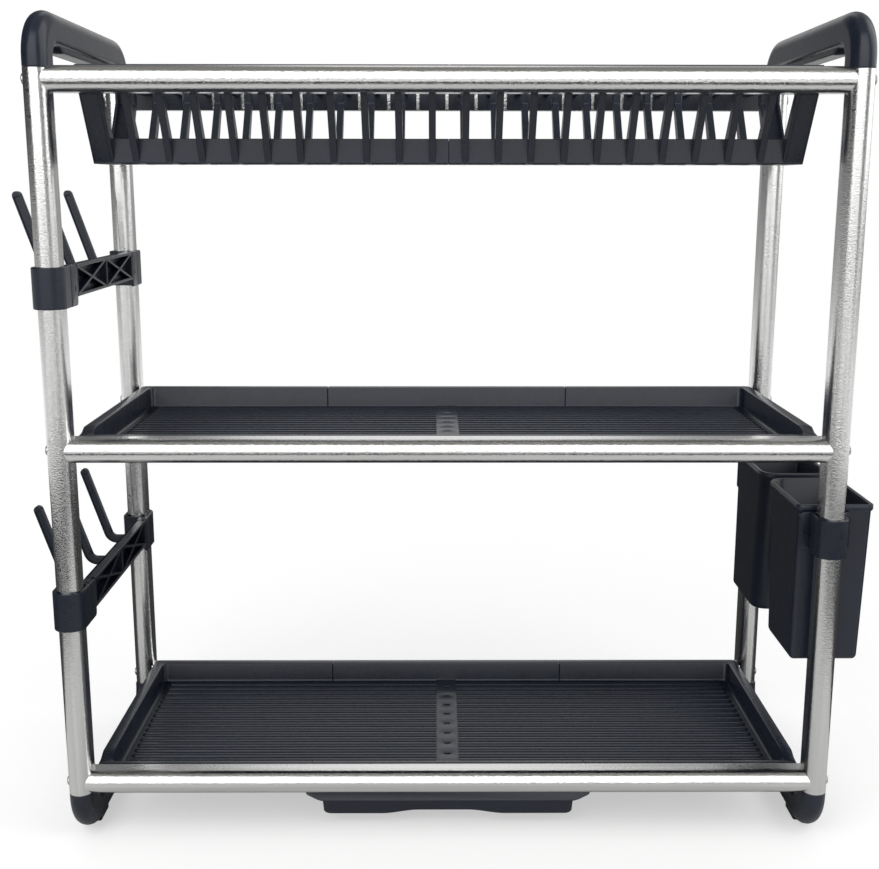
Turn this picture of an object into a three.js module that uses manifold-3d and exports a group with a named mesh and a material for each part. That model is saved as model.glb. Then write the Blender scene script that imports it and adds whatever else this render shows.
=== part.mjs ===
// Three-shelf dish drainer. Two side frames of D-shaped steel posts, each closed by a moulded
// handle above and a moulded foot below, carry six steel rails. On the rails lie a slotted dish
// rack and two ribbed trays, with a drip drawer under the lower tray. Two holders for boards
// ride on the left posts and two cutlery baskets on the right ones.
// Lengths are millimetres. X runs to the right, Y to the back, Z up, and the origin lies on the
// floor under the middle of the frame.
import * as THREE from 'three';
import { mergeVertices } from 'three/addons/utils/BufferGeometryUtils.js';
import Module from 'manifold-3d';

// Whole object
const frameWidth = 650;
const frameDepth = 265;
const frameHeight = 687;
const sideReach = 32;

// Clearances
const fitGap = 0.3;
const slideGap = 1;
const cutOverrun = 5;

// Steel tube of D section: round outside, flat sides and back
const postWidth = 20;
const postDepth = 26;
const railHeight = 20;
const railDepth = 22;
const railInset = 1.5;
const tubeWall = 1;
const tubeChamfer = 1.6;
const roundSegments = 8;
const hiddenSegments = 4;

// Heights of the frame
const footTop = 44;
const handleRise = 45;
const lowRailRise = 9;
const topRailDrop = 8;
const postTop = frameHeight - handleRise;
const lowRail = footTop + lowRailRise;
const topRail = postTop - topRailDrop;
const railLevels = [lowRail, (lowRail + topRail) / 2, topRail];

// Handle and foot bows
const bowRadius = 25;
const bowSegments = 6;
const spigotLength = 32;
const gripLipHeight = 4;
const gripLipInset = 2.5;
const footPadHeight = 2;
const footPadInset = 3;

// Rail screws and end plugs
const screwShank = 4;
const screwHead = 8.5;
const screwHeadHeight = 2.4;
const screwHeadShoulder = 1.1;
const screwDepth = 14;
const screwSides = 8;
const plugLength = 20;

// Dish rack
const rackRibsPerHalf = 10;
const rackRibWidth = 4.6;
const rackRibDepth = 10;
const rackFloorDepth = 7;
const rackDeckDepth = 7;
const rackFloorWidth = 34.8;
const rackEndPlate = 17;
const rackEndGap = 17;
const rackHang = 72.7;
const rackBarHeight = 16.7;
const rackBarThickness = 3;
const rackBarRecess = 1.4;
const rackSlopeShare = 0.6;
const rackWebHeight = 20;
const rackWebThickness = 2.8;
const rackLedgeReach = 6;
const rackLedgeThickness = 1.2;
const rackSeam = 0.8;
const rackKeelWidth = 8;
const rackKeelHeight = 5;

// Ribbed trays
const trayRimThickness = 4;
const trayRimWidth = 10;
const trayRimOverlap = 5;
const trayWall = 2.4;
const trayHeight = 28;
const trayFloorDrop = 20;
const trayFloorThickness = 2.2;
const trayRidgeCount = 19;
const trayRidgeEdgeShare = 0.62;
const trayRidgeBase = 6.4;
const trayRidgeTop = 2.8;
const trayRidgeHeight = 1.9;
const trayRidgeMargin = 7;
const trayStripWidth = 20;
const drainLength = 9;
const drainWidth = 3.2;
const trayCornerRadius = 5;
const traySeamShare = 0.402;
const traySeamWidth = 1.2;
const traySeamDepth = 0.9;
const stiffenerCount = 5;
const stiffenerThickness = 2;
const stiffenerHeight = 5;

// Drip drawer and its runners
const drawerWidthShare = 0.3446;
const drawerBackGap = 26.5;
const drawerDrop = 26.3;
const drawerRimReach = 12.5;
const drawerRimThickness = 2.6;
const drawerWall = 2;
const drawerCorner = 9;
const drawerFrontGap = 1.5;
const drawerFasciaHeight = 11;
const drawerFasciaThickness = 3.2;
const drawerFasciaCorner = 5;
const drawerSkirt = 3.6;
const drawerArchShare = 0.72;
const runnerThickness = 2.6;
const runnerLip = 9;

// Clips that wrap a post
const clipHeight = 33;
const clipWall = 3;
const tabLength = 15;
const pegDiameter = 3.4;
const pegRecess = 1.2;
const pegSides = 8;
const pegHeightShare = 0.42;

// Board holders
const holderRises = [156, 131.5];
const holderBarHeight = 26;
const holderBarThickness = 9;
const holderPlate = 2.4;
const holderBraceCount = 2;
const braceThickness = 2.2;
const prongRadius = 3.8;
const prongSpreadShare = 0.768;
const prongLean = 20;
const prongHeight = 71;
const prongArmDrop = 13;
const prongBendRadius = 9;
const prongBendSegments = 3;
const prongSides = 8;

// Cutlery baskets
const basketDrop = 50.5;
const basketHeight = 138;
const basketsApart = 17.8;
const basketInnerReach = 31.5;
const basketTaperSide = 4;
const basketTaperBack = 13;
const basketFrontCorner = 5;
const basketBackCorner = 14;
const basketCornerSegments = 4;
const basketWall = 2;
const basketFloor = 2.4;
const basketRimOut = 1.6;
const basketRimHeight = 5;
const basketSlotCount = 4;
const basketSlotWidth = 4;
const basketSlotMargin = 14;
const basketClipDrop = 22;
const clipPlateWidth = 43;
const clipPlateThickness = 3;
const pegInset = 5.5;

// Finishes
const steelFinish = { color: '#c6c7c5', roughness: 0.34, metalness: 1 };
const plasticFinish = { color: '#373c47', roughness: 0.55, metalness: 0 };
const softPlasticFinish = { color: '#3f4552', roughness: 0.5, metalness: 0 };
const screwFinish = { color: '#b9babb', roughness: 0.3, metalness: 1 };

// Places worked out from the sizes above
const frontFace = -frameDepth / 2;
const postX = frameWidth / 2 - postWidth / 2;
const postInside = postX - postWidth / 2;
const railInsideY = frontFace + railInset + railDepth;
const railCentreY = frontFace + railInset + railHeight / 2 + tubeChamfer;

const wasm = await Module();
wasm.setup();

// A closed geometry as a solid, ready to be joined or cut
function solid(geometry) {
  const bare = geometry.index ? geometry.toNonIndexed() : geometry.clone();
  bare.deleteAttribute('normal');
  bare.deleteAttribute('uv');
  const merged = mergeVertices(bare);
  return new wasm.Manifold(new wasm.Mesh({
    numProp: 3,
    vertProperties: new Float32Array(merged.attributes.position.array),
    triVerts: new Uint32Array(merged.index.array),
  }));
}

// A solid back as a geometry
function geometryOf(body) {
  const mesh = body.asOriginal().simplify().getMesh();
  const geometry = new THREE.BufferGeometry();
  const positions = [];
  for (let i = 0; i < mesh.vertProperties.length; i += mesh.numProp) {
    positions.push(...mesh.vertProperties.slice(i, i + 3));
  }
  geometry.setAttribute('position', new THREE.Float32BufferAttribute(positions, 3));
  geometry.setIndex(Array.from(mesh.triVerts));
  geometry.computeVertexNormals();
  return geometry;
}

function join(pieces) {
  return pieces.reduce((sum, piece) => sum.add(piece));
}

function cut(body, tools) {
  return tools.reduce((rest, tool) => rest.subtract(tool), body);
}

// Upright prism over an outline in X and Y, with outlines of holes
function prismZ(outline, z0, z1, holes = []) {
  const shape = new THREE.Shape(outline);
  shape.holes = holes.map((hole) => new THREE.Path(hole));
  const geometry = new THREE.ExtrudeGeometry(shape, { depth: z1 - z0, bevelEnabled: false });
  return geometry.translate(0, 0, z0);
}

// Prism along X over an outline in Y and Z
function prismX(outline, x0, x1, holes = []) {
  const geometry = prismZ(outline, x0, x1, holes);
  return geometry.applyMatrix4(new THREE.Matrix4().set(0, 0, 1, 0, 1, 0, 0, 0, 0, 1, 0, 0, 0, 0, 0, 1));
}

// Prism along Y over an outline in X and Z
function prismY(outline, y0, y1) {
  const turned = outline.map((p) => new THREE.Vector2(p.y, p.x));
  const geometry = prismZ(turned, y0, y1);
  return geometry.applyMatrix4(new THREE.Matrix4().set(0, 1, 0, 0, 0, 0, 1, 0, 1, 0, 0, 0, 0, 0, 0, 1));
}

function box(x0, x1, y0, y1, z0, z1) {
  return new THREE.BoxGeometry(x1 - x0, y1 - y0, z1 - z0)
    .translate((x0 + x1) / 2, (y0 + y1) / 2, (z0 + z1) / 2);
}

function rod(diameter, x0, x1, y, z, sides) {
  return new THREE.CylinderGeometry(diameter / 2, diameter / 2, x1 - x0, sides)
    .rotateZ(Math.PI / 2)
    .translate((x0 + x1) / 2, y, z);
}

function points(...pairs) {
  return pairs.map(([a, b]) => new THREE.Vector2(a, b));
}

// Rectangle with round corners; the corners at y1 may have a radius of their own
function roundedRectangle(x0, x1, y0, y1, near, segments, far = near) {
  const corners = [
    [x1 - near, y0 + near, near, -Math.PI / 2],
    [x1 - far, y1 - far, far, 0],
    [x0 + far, y1 - far, far, Math.PI / 2],
    [x0 + near, y0 + near, near, Math.PI],
  ];
  const outline = [];
  for (const [cx, cy, radius, start] of corners) {
    for (let i = 0; i <= segments; i += 1) {
      const angle = start + (Math.PI / 2) * (i / segments);
      outline.push(new THREE.Vector2(cx + radius * Math.cos(angle), cy + radius * Math.sin(angle)));
    }
  }
  return outline;
}

// D section with its round apex at y = 0 and its flat back at y = depth, grown by offset
function dSection(width, depth, offset = 0, segments = roundSegments) {
  const radius = width / 2 + offset;
  const chamfer = tubeChamfer + Math.max(offset, -tubeChamfer / 2);
  const back = depth + offset;
  const outline = [];
  for (let i = 0; i <= segments; i += 1) {
    const angle = Math.PI + Math.PI * (i / segments);
    outline.push(new THREE.Vector2(radius * Math.cos(angle), width / 2 + radius * Math.sin(angle)));
  }
  outline.push(new THREE.Vector2(radius, back - chamfer));
  outline.push(new THREE.Vector2(radius - chamfer, back));
  outline.push(new THREE.Vector2(-radius + chamfer, back));
  outline.push(new THREE.Vector2(-radius, back - chamfer));
  return outline;
}

// A path made of given stations, so that straights take one step and bends take several
class StationPath extends THREE.Curve {
  constructor(stations) {
    super();
    this.stations = stations;
  }

  at(u) {
    return this.stations[Math.round(u * (this.stations.length - 1))];
  }

  getPointAt(u, target = new THREE.Vector3()) {
    return target.copy(this.at(u).point);
  }

  getTangentAt(u, target = new THREE.Vector3()) {
    return target.copy(this.at(u).tangent);
  }
}

function sweep(outline, stations) {
  return new THREE.ExtrudeGeometry(new THREE.Shape(outline), {
    steps: stations.length - 1,
    bevelEnabled: false,
    extrudePath: new StationPath(stations),
  });
}

function station(point, tangent) {
  return { point, tangent: tangent.normalize() };
}

// Closed skin over a row of loops with equal numbers of points, capped at both ends
function loft(loops) {
  const count = loops[0].length;
  const positions = loops.flat().flatMap((p) => [p.x, p.y, p.z]);
  const faces = [];
  for (let k = 0; k + 1 < loops.length; k += 1) {
    for (let i = 0; i < count; i += 1) {
      const a = k * count + i;
      const b = k * count + ((i + 1) % count);
      faces.push(a, b, b + count, a, b + count, a + count);
    }
  }
  const cap = THREE.ShapeUtils.triangulateShape(loops[0].map((p) => new THREE.Vector2(p.x, p.y)), []);
  const top = (loops.length - 1) * count;
  for (const [a, b, c] of cap) {
    faces.push(a, c, b, top + a, top + b, top + c);
  }
  const geometry = new THREE.BufferGeometry();
  geometry.setAttribute('position', new THREE.Float32BufferAttribute(positions, 3));
  geometry.setIndex(faces);
  return geometry;
}

// Mirror image of a geometry, with its faces turned to keep pointing out
function mirrored(geometry, x, y) {
  const copy = geometry.clone().applyMatrix4(new THREE.Matrix4().makeScale(x, y, 1));
  const index = copy.index.array;
  for (let i = 0; i < index.length; i += 3) {
    const swap = index[i];
    index[i] = index[i + 1];
    index[i + 1] = swap;
  }
  copy.computeVertexNormals();
  return copy;
}

function mirroredX(geometry) {
  return mirrored(geometry, -1, 1);
}

function mirroredY(geometry) {
  return mirrored(geometry, 1, -1);
}

const group = new THREE.Group();
group.name = 'dish_drainer';

function addMesh(name, geometry, finish, x = 0, y = 0, turned = false) {
  const mesh = new THREE.Mesh(geometry, new THREE.MeshStandardMaterial(finish));
  mesh.name = name;
  mesh.position.set(x, y, 0);
  mesh.rotation.z = turned ? Math.PI : 0;
  group.add(mesh);
  return mesh;
}

// Screw holes through a post or a spigot that stands at x = 0, y inward from the frame's face
function screwHoles(y, diameter, levels) {
  const reach = postWidth / 2 + cutOverrun;
  return levels.map((z) => solid(rod(diameter, -reach, reach, y, z, screwSides)));
}

const screwHole = screwShank + 2 * fitGap;
const screwY = railCentreY - frontFace;

// Posts
function postGeometry() {
  const outline = dSection(postWidth, postDepth);
  const bore = dSection(postWidth, postDepth, -tubeWall, hiddenSegments).reverse();
  const tube = solid(prismZ(outline, footTop + fitGap, postTop - fitGap, [bore]));
  return geometryOf(cut(tube, screwHoles(screwY, screwHole, railLevels)));
}

// Bow of the handle, or of the foot when it is turned over: two legs joined by a bar
function bowStations(legEnd, crown, direction) {
  const half = frameDepth / 2 - postDepth / 2;
  const centreZ = crown - direction * (postDepth / 2 + bowRadius);
  const along = new THREE.Vector3(0, 0, direction);
  const stations = [station(new THREE.Vector3(0, -half, legEnd), along.clone())];
  for (const side of [-1, 1]) {
    for (let i = 0; i <= bowSegments; i += 1) {
      const share = side < 0 ? i / bowSegments : 1 - i / bowSegments;
      const angle = share * (Math.PI / 2);
      const point = new THREE.Vector3(
        0,
        side * (half - bowRadius + bowRadius * Math.cos(angle)),
        centreZ + direction * bowRadius * Math.sin(angle),
      );
      const tangent = new THREE.Vector3(0, Math.sin(angle), -side * direction * Math.cos(angle));
      stations.push(station(point, tangent));
    }
  }
  stations.push(station(new THREE.Vector3(0, half, legEnd), along.clone().negate()));
  return stations;
}

function bowSection() {
  return dSection(postWidth, postDepth).map((p) => new THREE.Vector2(postDepth / 2 - p.y, -p.x));
}

function spigots(z0, z1, level) {
  const inset = -(tubeWall + fitGap);
  const outline = dSection(postWidth, postDepth, inset, hiddenSegments)
    .map((p) => new THREE.Vector2(p.x, p.y + frontFace));
  const front = cut(
    solid(prismZ(outline, z0, z1)),
    [solid(rod(screwHole, -postWidth, postWidth, railCentreY, level, screwSides))],
  );
  return [front, front.rotate([0, 0, 180])];
}

function handleGeometry() {
  const bow = solid(sweep(bowSection(), bowStations(postTop, frameHeight, 1)));
  const underside = frameHeight - postDepth;
  const lipHalf = frameDepth / 2 - postDepth - bowRadius / 2;
  const lip = solid(box(
    -postWidth / 2 + gripLipInset,
    postWidth / 2 - gripLipInset,
    -lipHalf,
    lipHalf,
    underside - gripLipHeight,
    underside + gripLipInset,
  ));
  const pins = spigots(postTop - spigotLength, postTop + gripLipHeight, railLevels[2]);
  return geometryOf(join([bow, lip, ...pins]));
}

function footGeometry() {
  const bow = solid(sweep(bowSection(), bowStations(footTop, footPadHeight, -1)));
  const padHalf = frameDepth / 2 - postDepth / 2 - bowRadius;
  const pads = [-1, 1].map((side) => {
    const middle = side * (padHalf - postDepth / 2);
    return solid(box(
      -postWidth / 2 + footPadInset,
      postWidth / 2 - footPadInset,
      middle - postDepth / 2,
      middle + postDepth / 2,
      0,
      footPadHeight + footPadInset,
    ));
  });
  const pins = spigots(footTop - gripLipHeight, footTop + spigotLength, railLevels[0]);
  return geometryOf(join([bow, ...pads, ...pins]));
}

const post = postGeometry();
addMesh('front_left_post', post, steelFinish, -postX, frontFace);
addMesh('front_right_post', post, steelFinish, postX, frontFace);
addMesh('rear_left_post', post, steelFinish, -postX, -frontFace, true);
addMesh('rear_right_post', post, steelFinish, postX, -frontFace, true);

const handle = handleGeometry();
addMesh('left_handle', handle, plasticFinish, -postX);
addMesh('right_handle', handle, plasticFinish, postX);
const foot = footGeometry();
addMesh('left_foot', foot, plasticFinish, -postX);
addMesh('right_foot', foot, plasticFinish, postX);

// Rails butt against the insides of the posts
function railOutline(level, offset = 0, segments = roundSegments) {
  return dSection(railHeight, railDepth, offset, segments)
    .map((p) => new THREE.Vector2(frontFace + railInset + p.y, level - p.x));
}

const railHalf = postInside - fitGap;
const railNames = ['bottom', 'mid', 'top'];
railLevels.forEach((level, i) => {
  const bore = railOutline(level, -tubeWall, hiddenSegments).reverse();
  const rail = prismX(railOutline(level), -railHalf, railHalf, [bore]);
  addMesh(`${railNames[i]}_front_rail`, rail, steelFinish);
  addMesh(`${railNames[i]}_rear_rail`, rail, steelFinish, 0, 0, true);
});

// Plugs in the rail ends take the screws that come through the posts
const plugEnd = -railHalf + fitGap;
const shankEnd = -railHalf + screwDepth;

function plugGeometry(level) {
  const outline = railOutline(level, -(tubeWall + fitGap), hiddenSegments);
  const body = solid(prismX(outline, plugEnd, plugEnd + plugLength));
  const hole = rod(screwHole, plugEnd - cutOverrun, shankEnd + slideGap, railCentreY, level, screwSides);
  return geometryOf(cut(body, [solid(hole)]));
}

function screwGeometry(level) {
  const faceX = -frameWidth / 2 - fitGap;
  const profile = points(
    [0, screwHeadHeight],
    [screwHead / 2, screwHeadHeight - screwHeadShoulder],
    [screwHead / 2, 0],
    [screwShank / 2, 0],
    [screwShank / 2, faceX - shankEnd],
    [0, faceX - shankEnd],
  ).reverse();
  return new THREE.LatheGeometry(profile, screwSides)
    .rotateZ(Math.PI / 2)
    .translate(faceX, railCentreY, level);
}

// The left end's piece turned half round its rail's middle fits the right end
function rightEnd(geometry) {
  return geometry.clone().translate(0, -railCentreY, 0).rotateZ(Math.PI).translate(0, railCentreY, 0);
}

railLevels.forEach((level, i) => {
  const leftPlug = plugGeometry(level);
  const rightPlug = mirroredX(leftPlug);
  const leftScrew = screwGeometry(level);
  const rightScrew = rightEnd(leftScrew);
  addMesh(`${railNames[i]}_front_left_plug`, leftPlug, plasticFinish);
  addMesh(`${railNames[i]}_front_right_plug`, rightPlug, plasticFinish);
  addMesh(`${railNames[i]}_rear_right_plug`, leftPlug, plasticFinish, 0, 0, true);
  addMesh(`${railNames[i]}_rear_left_plug`, rightPlug, plasticFinish, 0, 0, true);
  addMesh(`${railNames[i]}_front_left_screw`, leftScrew, screwFinish);
  addMesh(`${railNames[i]}_front_right_screw`, rightScrew, screwFinish);
  addMesh(`${railNames[i]}_rear_right_screw`, leftScrew, screwFinish, 0, 0, true);
  addMesh(`${railNames[i]}_rear_left_screw`, rightScrew, screwFinish, 0, 0, true);
});

// Dish rack: a trough of leaning ribs stands near the front, joined by floor ribs below. Its front
// side hangs on the front rail, and level slats run from its rear side to the rear rail
const rackRailTop = railLevels[2] + railHeight / 2;
const rackBottomLevel = rackRailTop - rackHang;
const rackEndReach = postInside - rackEndGap;
const rackPitch = (rackEndReach - rackEndPlate / 2) / (rackRibsPerHalf + 0.5);
const rackWebOuter = railInsideY + fitGap;
const rackWebInner = rackWebOuter + rackWebThickness;
const rackWebBottom = rackRailTop - rackWebHeight;
const rackLegY = rackWebInner - rackWebThickness / 2;
const rackLegTop = rackRailTop - rackDeckDepth;
const rackFootY = rackSideY(rackBottomLevel);
const rackFloorY = rackFootY + rackRibDepth;
const rackTroughMiddle = rackFloorY + rackFloorWidth / 2;

// The front side's outer face at a height
function rackSideY(z) {
  return rackWebInner + (rackWebBottom - z) * rackSlopeShare;
}

// The same place on the other side of the trough
function acrossTrough(y) {
  return 2 * rackTroughMiddle - y;
}

// Ribs of a half, then its wider end plate, from one outline in Y and Z
function rackRow(outline) {
  const row = [solid(prismX(outline, -rackEndReach, -rackEndReach + rackEndPlate))];
  for (let i = 0; i < rackRibsPerHalf; i += 1) {
    const x = -rackPitch * (i + 0.5);
    row.push(solid(prismX(outline, x - rackRibWidth / 2, x + rackRibWidth / 2)));
  }
  return row;
}

function rackStrip(outline) {
  return solid(prismX(outline, -rackEndReach, -rackSeam / 2));
}

// Web behind a rail, with the ledge that lies on the rail
function rackWeb() {
  return rackStrip(points(
    [rackWebOuter, rackWebBottom],
    [rackWebInner, rackWebBottom],
    [rackWebInner, rackRailTop + fitGap + rackLedgeThickness],
    [rackWebOuter - rackLedgeReach, rackRailTop + fitGap + rackLedgeThickness],
    [rackWebOuter - rackLedgeReach, rackRailTop + fitGap],
    [rackWebOuter, rackRailTop + fitGap],
  ));
}

// Leaning ribs of one side, with the bar along their feet
function rackLegs() {
  const barTop = rackBottomLevel + rackBarHeight;
  const barY = (z) => rackSideY(z) + rackBarRecess;
  const bar = rackStrip(points(
    [barY(rackBottomLevel), rackBottomLevel],
    [barY(rackBottomLevel) + rackBarThickness, rackBottomLevel],
    [barY(barTop) + rackBarThickness, barTop],
    [barY(barTop), barTop],
  ));
  const leg = points(
    [rackLegY, rackLegTop],
    [rackLegY, rackWebBottom],
    [rackFootY, rackBottomLevel],
    [rackFloorY, rackBottomLevel],
    [rackFloorY, rackBottomLevel + rackFloorDepth],
    [rackLegY + rackRibDepth, rackWebBottom],
    [rackLegY + rackRibDepth, rackLegTop],
  );
  return join([bar, ...rackRow(leg)]);
}

function rackFloorGeometry() {
  const rib = points(
    [rackFloorY, rackBottomLevel],
    [acrossTrough(rackFloorY), rackBottomLevel],
    [acrossTrough(rackFloorY), rackBottomLevel + rackFloorDepth],
    [rackFloorY, rackBottomLevel + rackFloorDepth],
  );
  const keel = rackStrip(points(
    [rackTroughMiddle - rackKeelWidth / 2, rackBottomLevel],
    [rackTroughMiddle + rackKeelWidth / 2, rackBottomLevel],
    [rackTroughMiddle + rackKeelWidth / 2, rackBottomLevel + rackKeelHeight],
    [rackTroughMiddle - rackKeelWidth / 2, rackBottomLevel + rackKeelHeight],
  ));
  return geometryOf(join([keel, ...rackRow(rib)]));
}

// Deck: slats from a ridge over the rear legs to the web at the rear rail, drawn at the front
function rackDeckGeometry() {
  const ridgeY = -acrossTrough(rackLegY + rackRibDepth);
  const slat = points(
    [rackLegY, rackLegTop],
    [ridgeY, rackLegTop],
    [ridgeY, rackRailTop],
    [rackLegY, rackRailTop],
  );
  const ridge = points(
    [ridgeY - rackBarThickness, rackLegTop],
    [ridgeY, rackLegTop],
    [ridgeY, rackRailTop],
    [ridgeY - rackBarThickness, rackRailTop],
  );
  return mirroredY(geometryOf(join([rackWeb(), rackStrip(ridge), ...rackRow(slat)])));
}

const rackParts = [
  ['front', geometryOf(join([rackWeb(), rackLegs()])), 0],
  ['rear', mirroredY(geometryOf(rackLegs())), acrossTrough(0)],
  ['deck', rackDeckGeometry(), 0],
  ['floor', rackFloorGeometry(), 0],
];
for (const [part, geometry, y] of rackParts) {
  addMesh(`dish_rack_left_${part}`, geometry, plasticFinish, 0, y);
  addMesh(`dish_rack_right_${part}`, mirroredX(geometry), plasticFinish, 0, y);
}

// Tray: its rim lies on the two rails and the ridged floor hangs between them
const trayHalfX = postInside - 1.5 * slideGap;
const trayHalfY = -(railInsideY - trayRimOverlap);
const trayInsideX = trayHalfX - trayRimWidth;
const trayInsideY = trayHalfY - trayRimWidth;
const trayRidgePitch = 2 * trayInsideY / (trayRidgeCount + trayRidgeEdgeShare);
const traySeamX = trayInsideX * traySeamShare;
const drawerWidth = frameWidth * drawerWidthShare;
const runnerOuter = drawerWidth / 2 + drawerRimReach + slideGap + runnerThickness;

function trayPieces(level) {
  const rimBottom = level + railHeight / 2 + fitGap;
  const rimTop = rimBottom + trayRimThickness;
  const bottom = rimTop - trayHeight;
  const floorTop = rimTop - trayFloorDrop;
  const rim = roundedRectangle(-trayHalfX, trayHalfX, -trayHalfY, trayHalfY, trayCornerRadius, 3);
  const insideX = trayInsideX;
  const insideY = trayInsideY;
  const inside = roundedRectangle(-insideX, insideX, -insideY, insideY, trayCornerRadius, 3);
  const outsideX = insideX + trayWall;
  const outsideY = insideY + trayWall;
  const wall = roundedRectangle(-outsideX, outsideX, -outsideY, outsideY, trayCornerRadius + trayWall, 3);
  const pieces = [
    solid(prismZ(rim, rimBottom, rimTop, [inside.slice().reverse()])),
    solid(prismZ(wall, bottom, rimTop - trayRimThickness / 2, [inside.slice().reverse()])),
    solid(box(-outsideX + trayWall / 2, outsideX - trayWall / 2, -outsideY + trayWall / 2,
      outsideY - trayWall / 2, floorTop - trayFloorThickness, floorTop)),
  ];
  const first = -trayRidgePitch * (trayRidgeCount - 1) / 2;
  const comb = points([first - trayRidgeBase / 2, floorTop - trayFloorThickness / 2]);
  const last = -first;
  comb.push(...points([last + trayRidgeBase / 2, floorTop - trayFloorThickness / 2]));
  for (let i = trayRidgeCount - 1; i >= 0; i -= 1) {
    const y = first + i * trayRidgePitch;
    comb.push(...points(
      [y + trayRidgeBase / 2, floorTop],
      [y + trayRidgeTop / 2, floorTop + trayRidgeHeight],
      [y - trayRidgeTop / 2, floorTop + trayRidgeHeight],
      [y - trayRidgeBase / 2, floorTop],
    ));
  }
  for (const side of [-1, 1]) {
    const x0 = side < 0 ? -insideX + trayRidgeMargin : trayStripWidth / 2 - fitGap;
    const x1 = side < 0 ? -trayStripWidth / 2 + fitGap : insideX - trayRidgeMargin;
    pieces.push(solid(prismX(comb, x0, x1)));
  }
  pieces.push(solid(box(-trayStripWidth / 2, trayStripWidth / 2, -insideY - trayWall / 2,
    insideY + trayWall / 2, floorTop - trayFloorThickness / 2, floorTop + trayRidgeHeight)));
  const spread = 2 * insideX / (stiffenerCount + 1);
  for (let i = 0; i < stiffenerCount; i += 1) {
    const x = -insideX + spread * (i + 1) + (2 * i === stiffenerCount - 1 ? trayStripWidth / 2 : 0);
    pieces.push(solid(box(x - stiffenerThickness / 2, x + stiffenerThickness / 2, -insideY - trayWall / 2,
      insideY + trayWall / 2, floorTop - trayFloorThickness - stiffenerHeight, floorTop - trayFloorThickness / 2)));
  }
  const cuts = [];
  for (let i = 1; i < trayRidgeCount - 1; i += 2) {
    const y = first + i * trayRidgePitch;
    cuts.push(solid(box(-drainLength / 2, drainLength / 2, y - drainWidth / 2, y + drainWidth / 2,
      floorTop - trayFloorThickness - cutOverrun, floorTop + trayRidgeHeight + cutOverrun)));
  }
  for (const sideX of [-1, 1]) {
    for (const sideY of [-1, 1]) {
      const x = sideX * traySeamX;
      const y0 = sideY < 0 ? -insideY - traySeamDepth : insideY - cutOverrun;
      const y1 = sideY < 0 ? -insideY + cutOverrun : insideY + traySeamDepth;
      cuts.push(solid(box(x - traySeamWidth / 2, x + traySeamWidth / 2, y0, y1,
        floorTop + trayRidgeHeight, rimTop + cutOverrun)));
      cuts.push(solid(box(x - traySeamWidth / 2, x + traySeamWidth / 2,
        sideY < 0 ? -trayHalfY - cutOverrun : insideY,
        sideY < 0 ? -insideY : trayHalfY + cutOverrun,
        rimTop - traySeamDepth, rimTop + cutOverrun)));
    }
  }
  return { pieces, cuts, bottom, outsideY };
}

// Levels of the drip drawer, from the underside of the lower tray down
const lowerTrayBottom = railLevels[0] + railHeight / 2 + fitGap + trayRimThickness - trayHeight;
const drawerRimTop = lowerTrayBottom - slideGap;
const drawerBottomLevel = lowerTrayBottom - drawerDrop;
const drawerRimBottom = drawerRimTop - drawerRimThickness;
const runnerFootTop = drawerRimBottom - fitGap;

function runnerSolids(bottom, outsideY) {
  return [-1, 1].flatMap((side) => {
    const outline = points(
      [side * (runnerOuter - runnerThickness), bottom + trayWall],
      [side * runnerOuter, bottom + trayWall],
      [side * runnerOuter, runnerFootTop - runnerThickness],
      [side * (runnerOuter - runnerThickness - runnerLip), runnerFootTop - runnerThickness],
      [side * (runnerOuter - runnerThickness - runnerLip), runnerFootTop],
      [side * (runnerOuter - runnerThickness), runnerFootTop],
    );
    const ordered = side < 0 ? outline.slice() : outline.slice().reverse();
    const floorLevel = bottom + trayHeight - trayFloorDrop - trayFloorThickness;
    return [
      solid(prismY(ordered, -outsideY + trayWall, outsideY - trayWall)),
      solid(box(
        side < 0 ? -runnerOuter : runnerOuter - runnerThickness,
        side < 0 ? -runnerOuter + runnerThickness : runnerOuter,
        -outsideY + trayWall / 2,
        outsideY - trayWall / 2,
        bottom,
        floorLevel + trayFloorThickness / 2,
      )),
    ];
  });
}

const midTray = trayPieces(railLevels[1]);
addMesh('mid_tray', geometryOf(cut(join(midTray.pieces), midTray.cuts)), plasticFinish);
const lowTray = trayPieces(railLevels[0]);
lowTray.pieces.push(...runnerSolids(lowTray.bottom, lowTray.outsideY));
addMesh('bottom_tray', geometryOf(cut(join(lowTray.pieces), lowTray.cuts)), plasticFinish);

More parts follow.
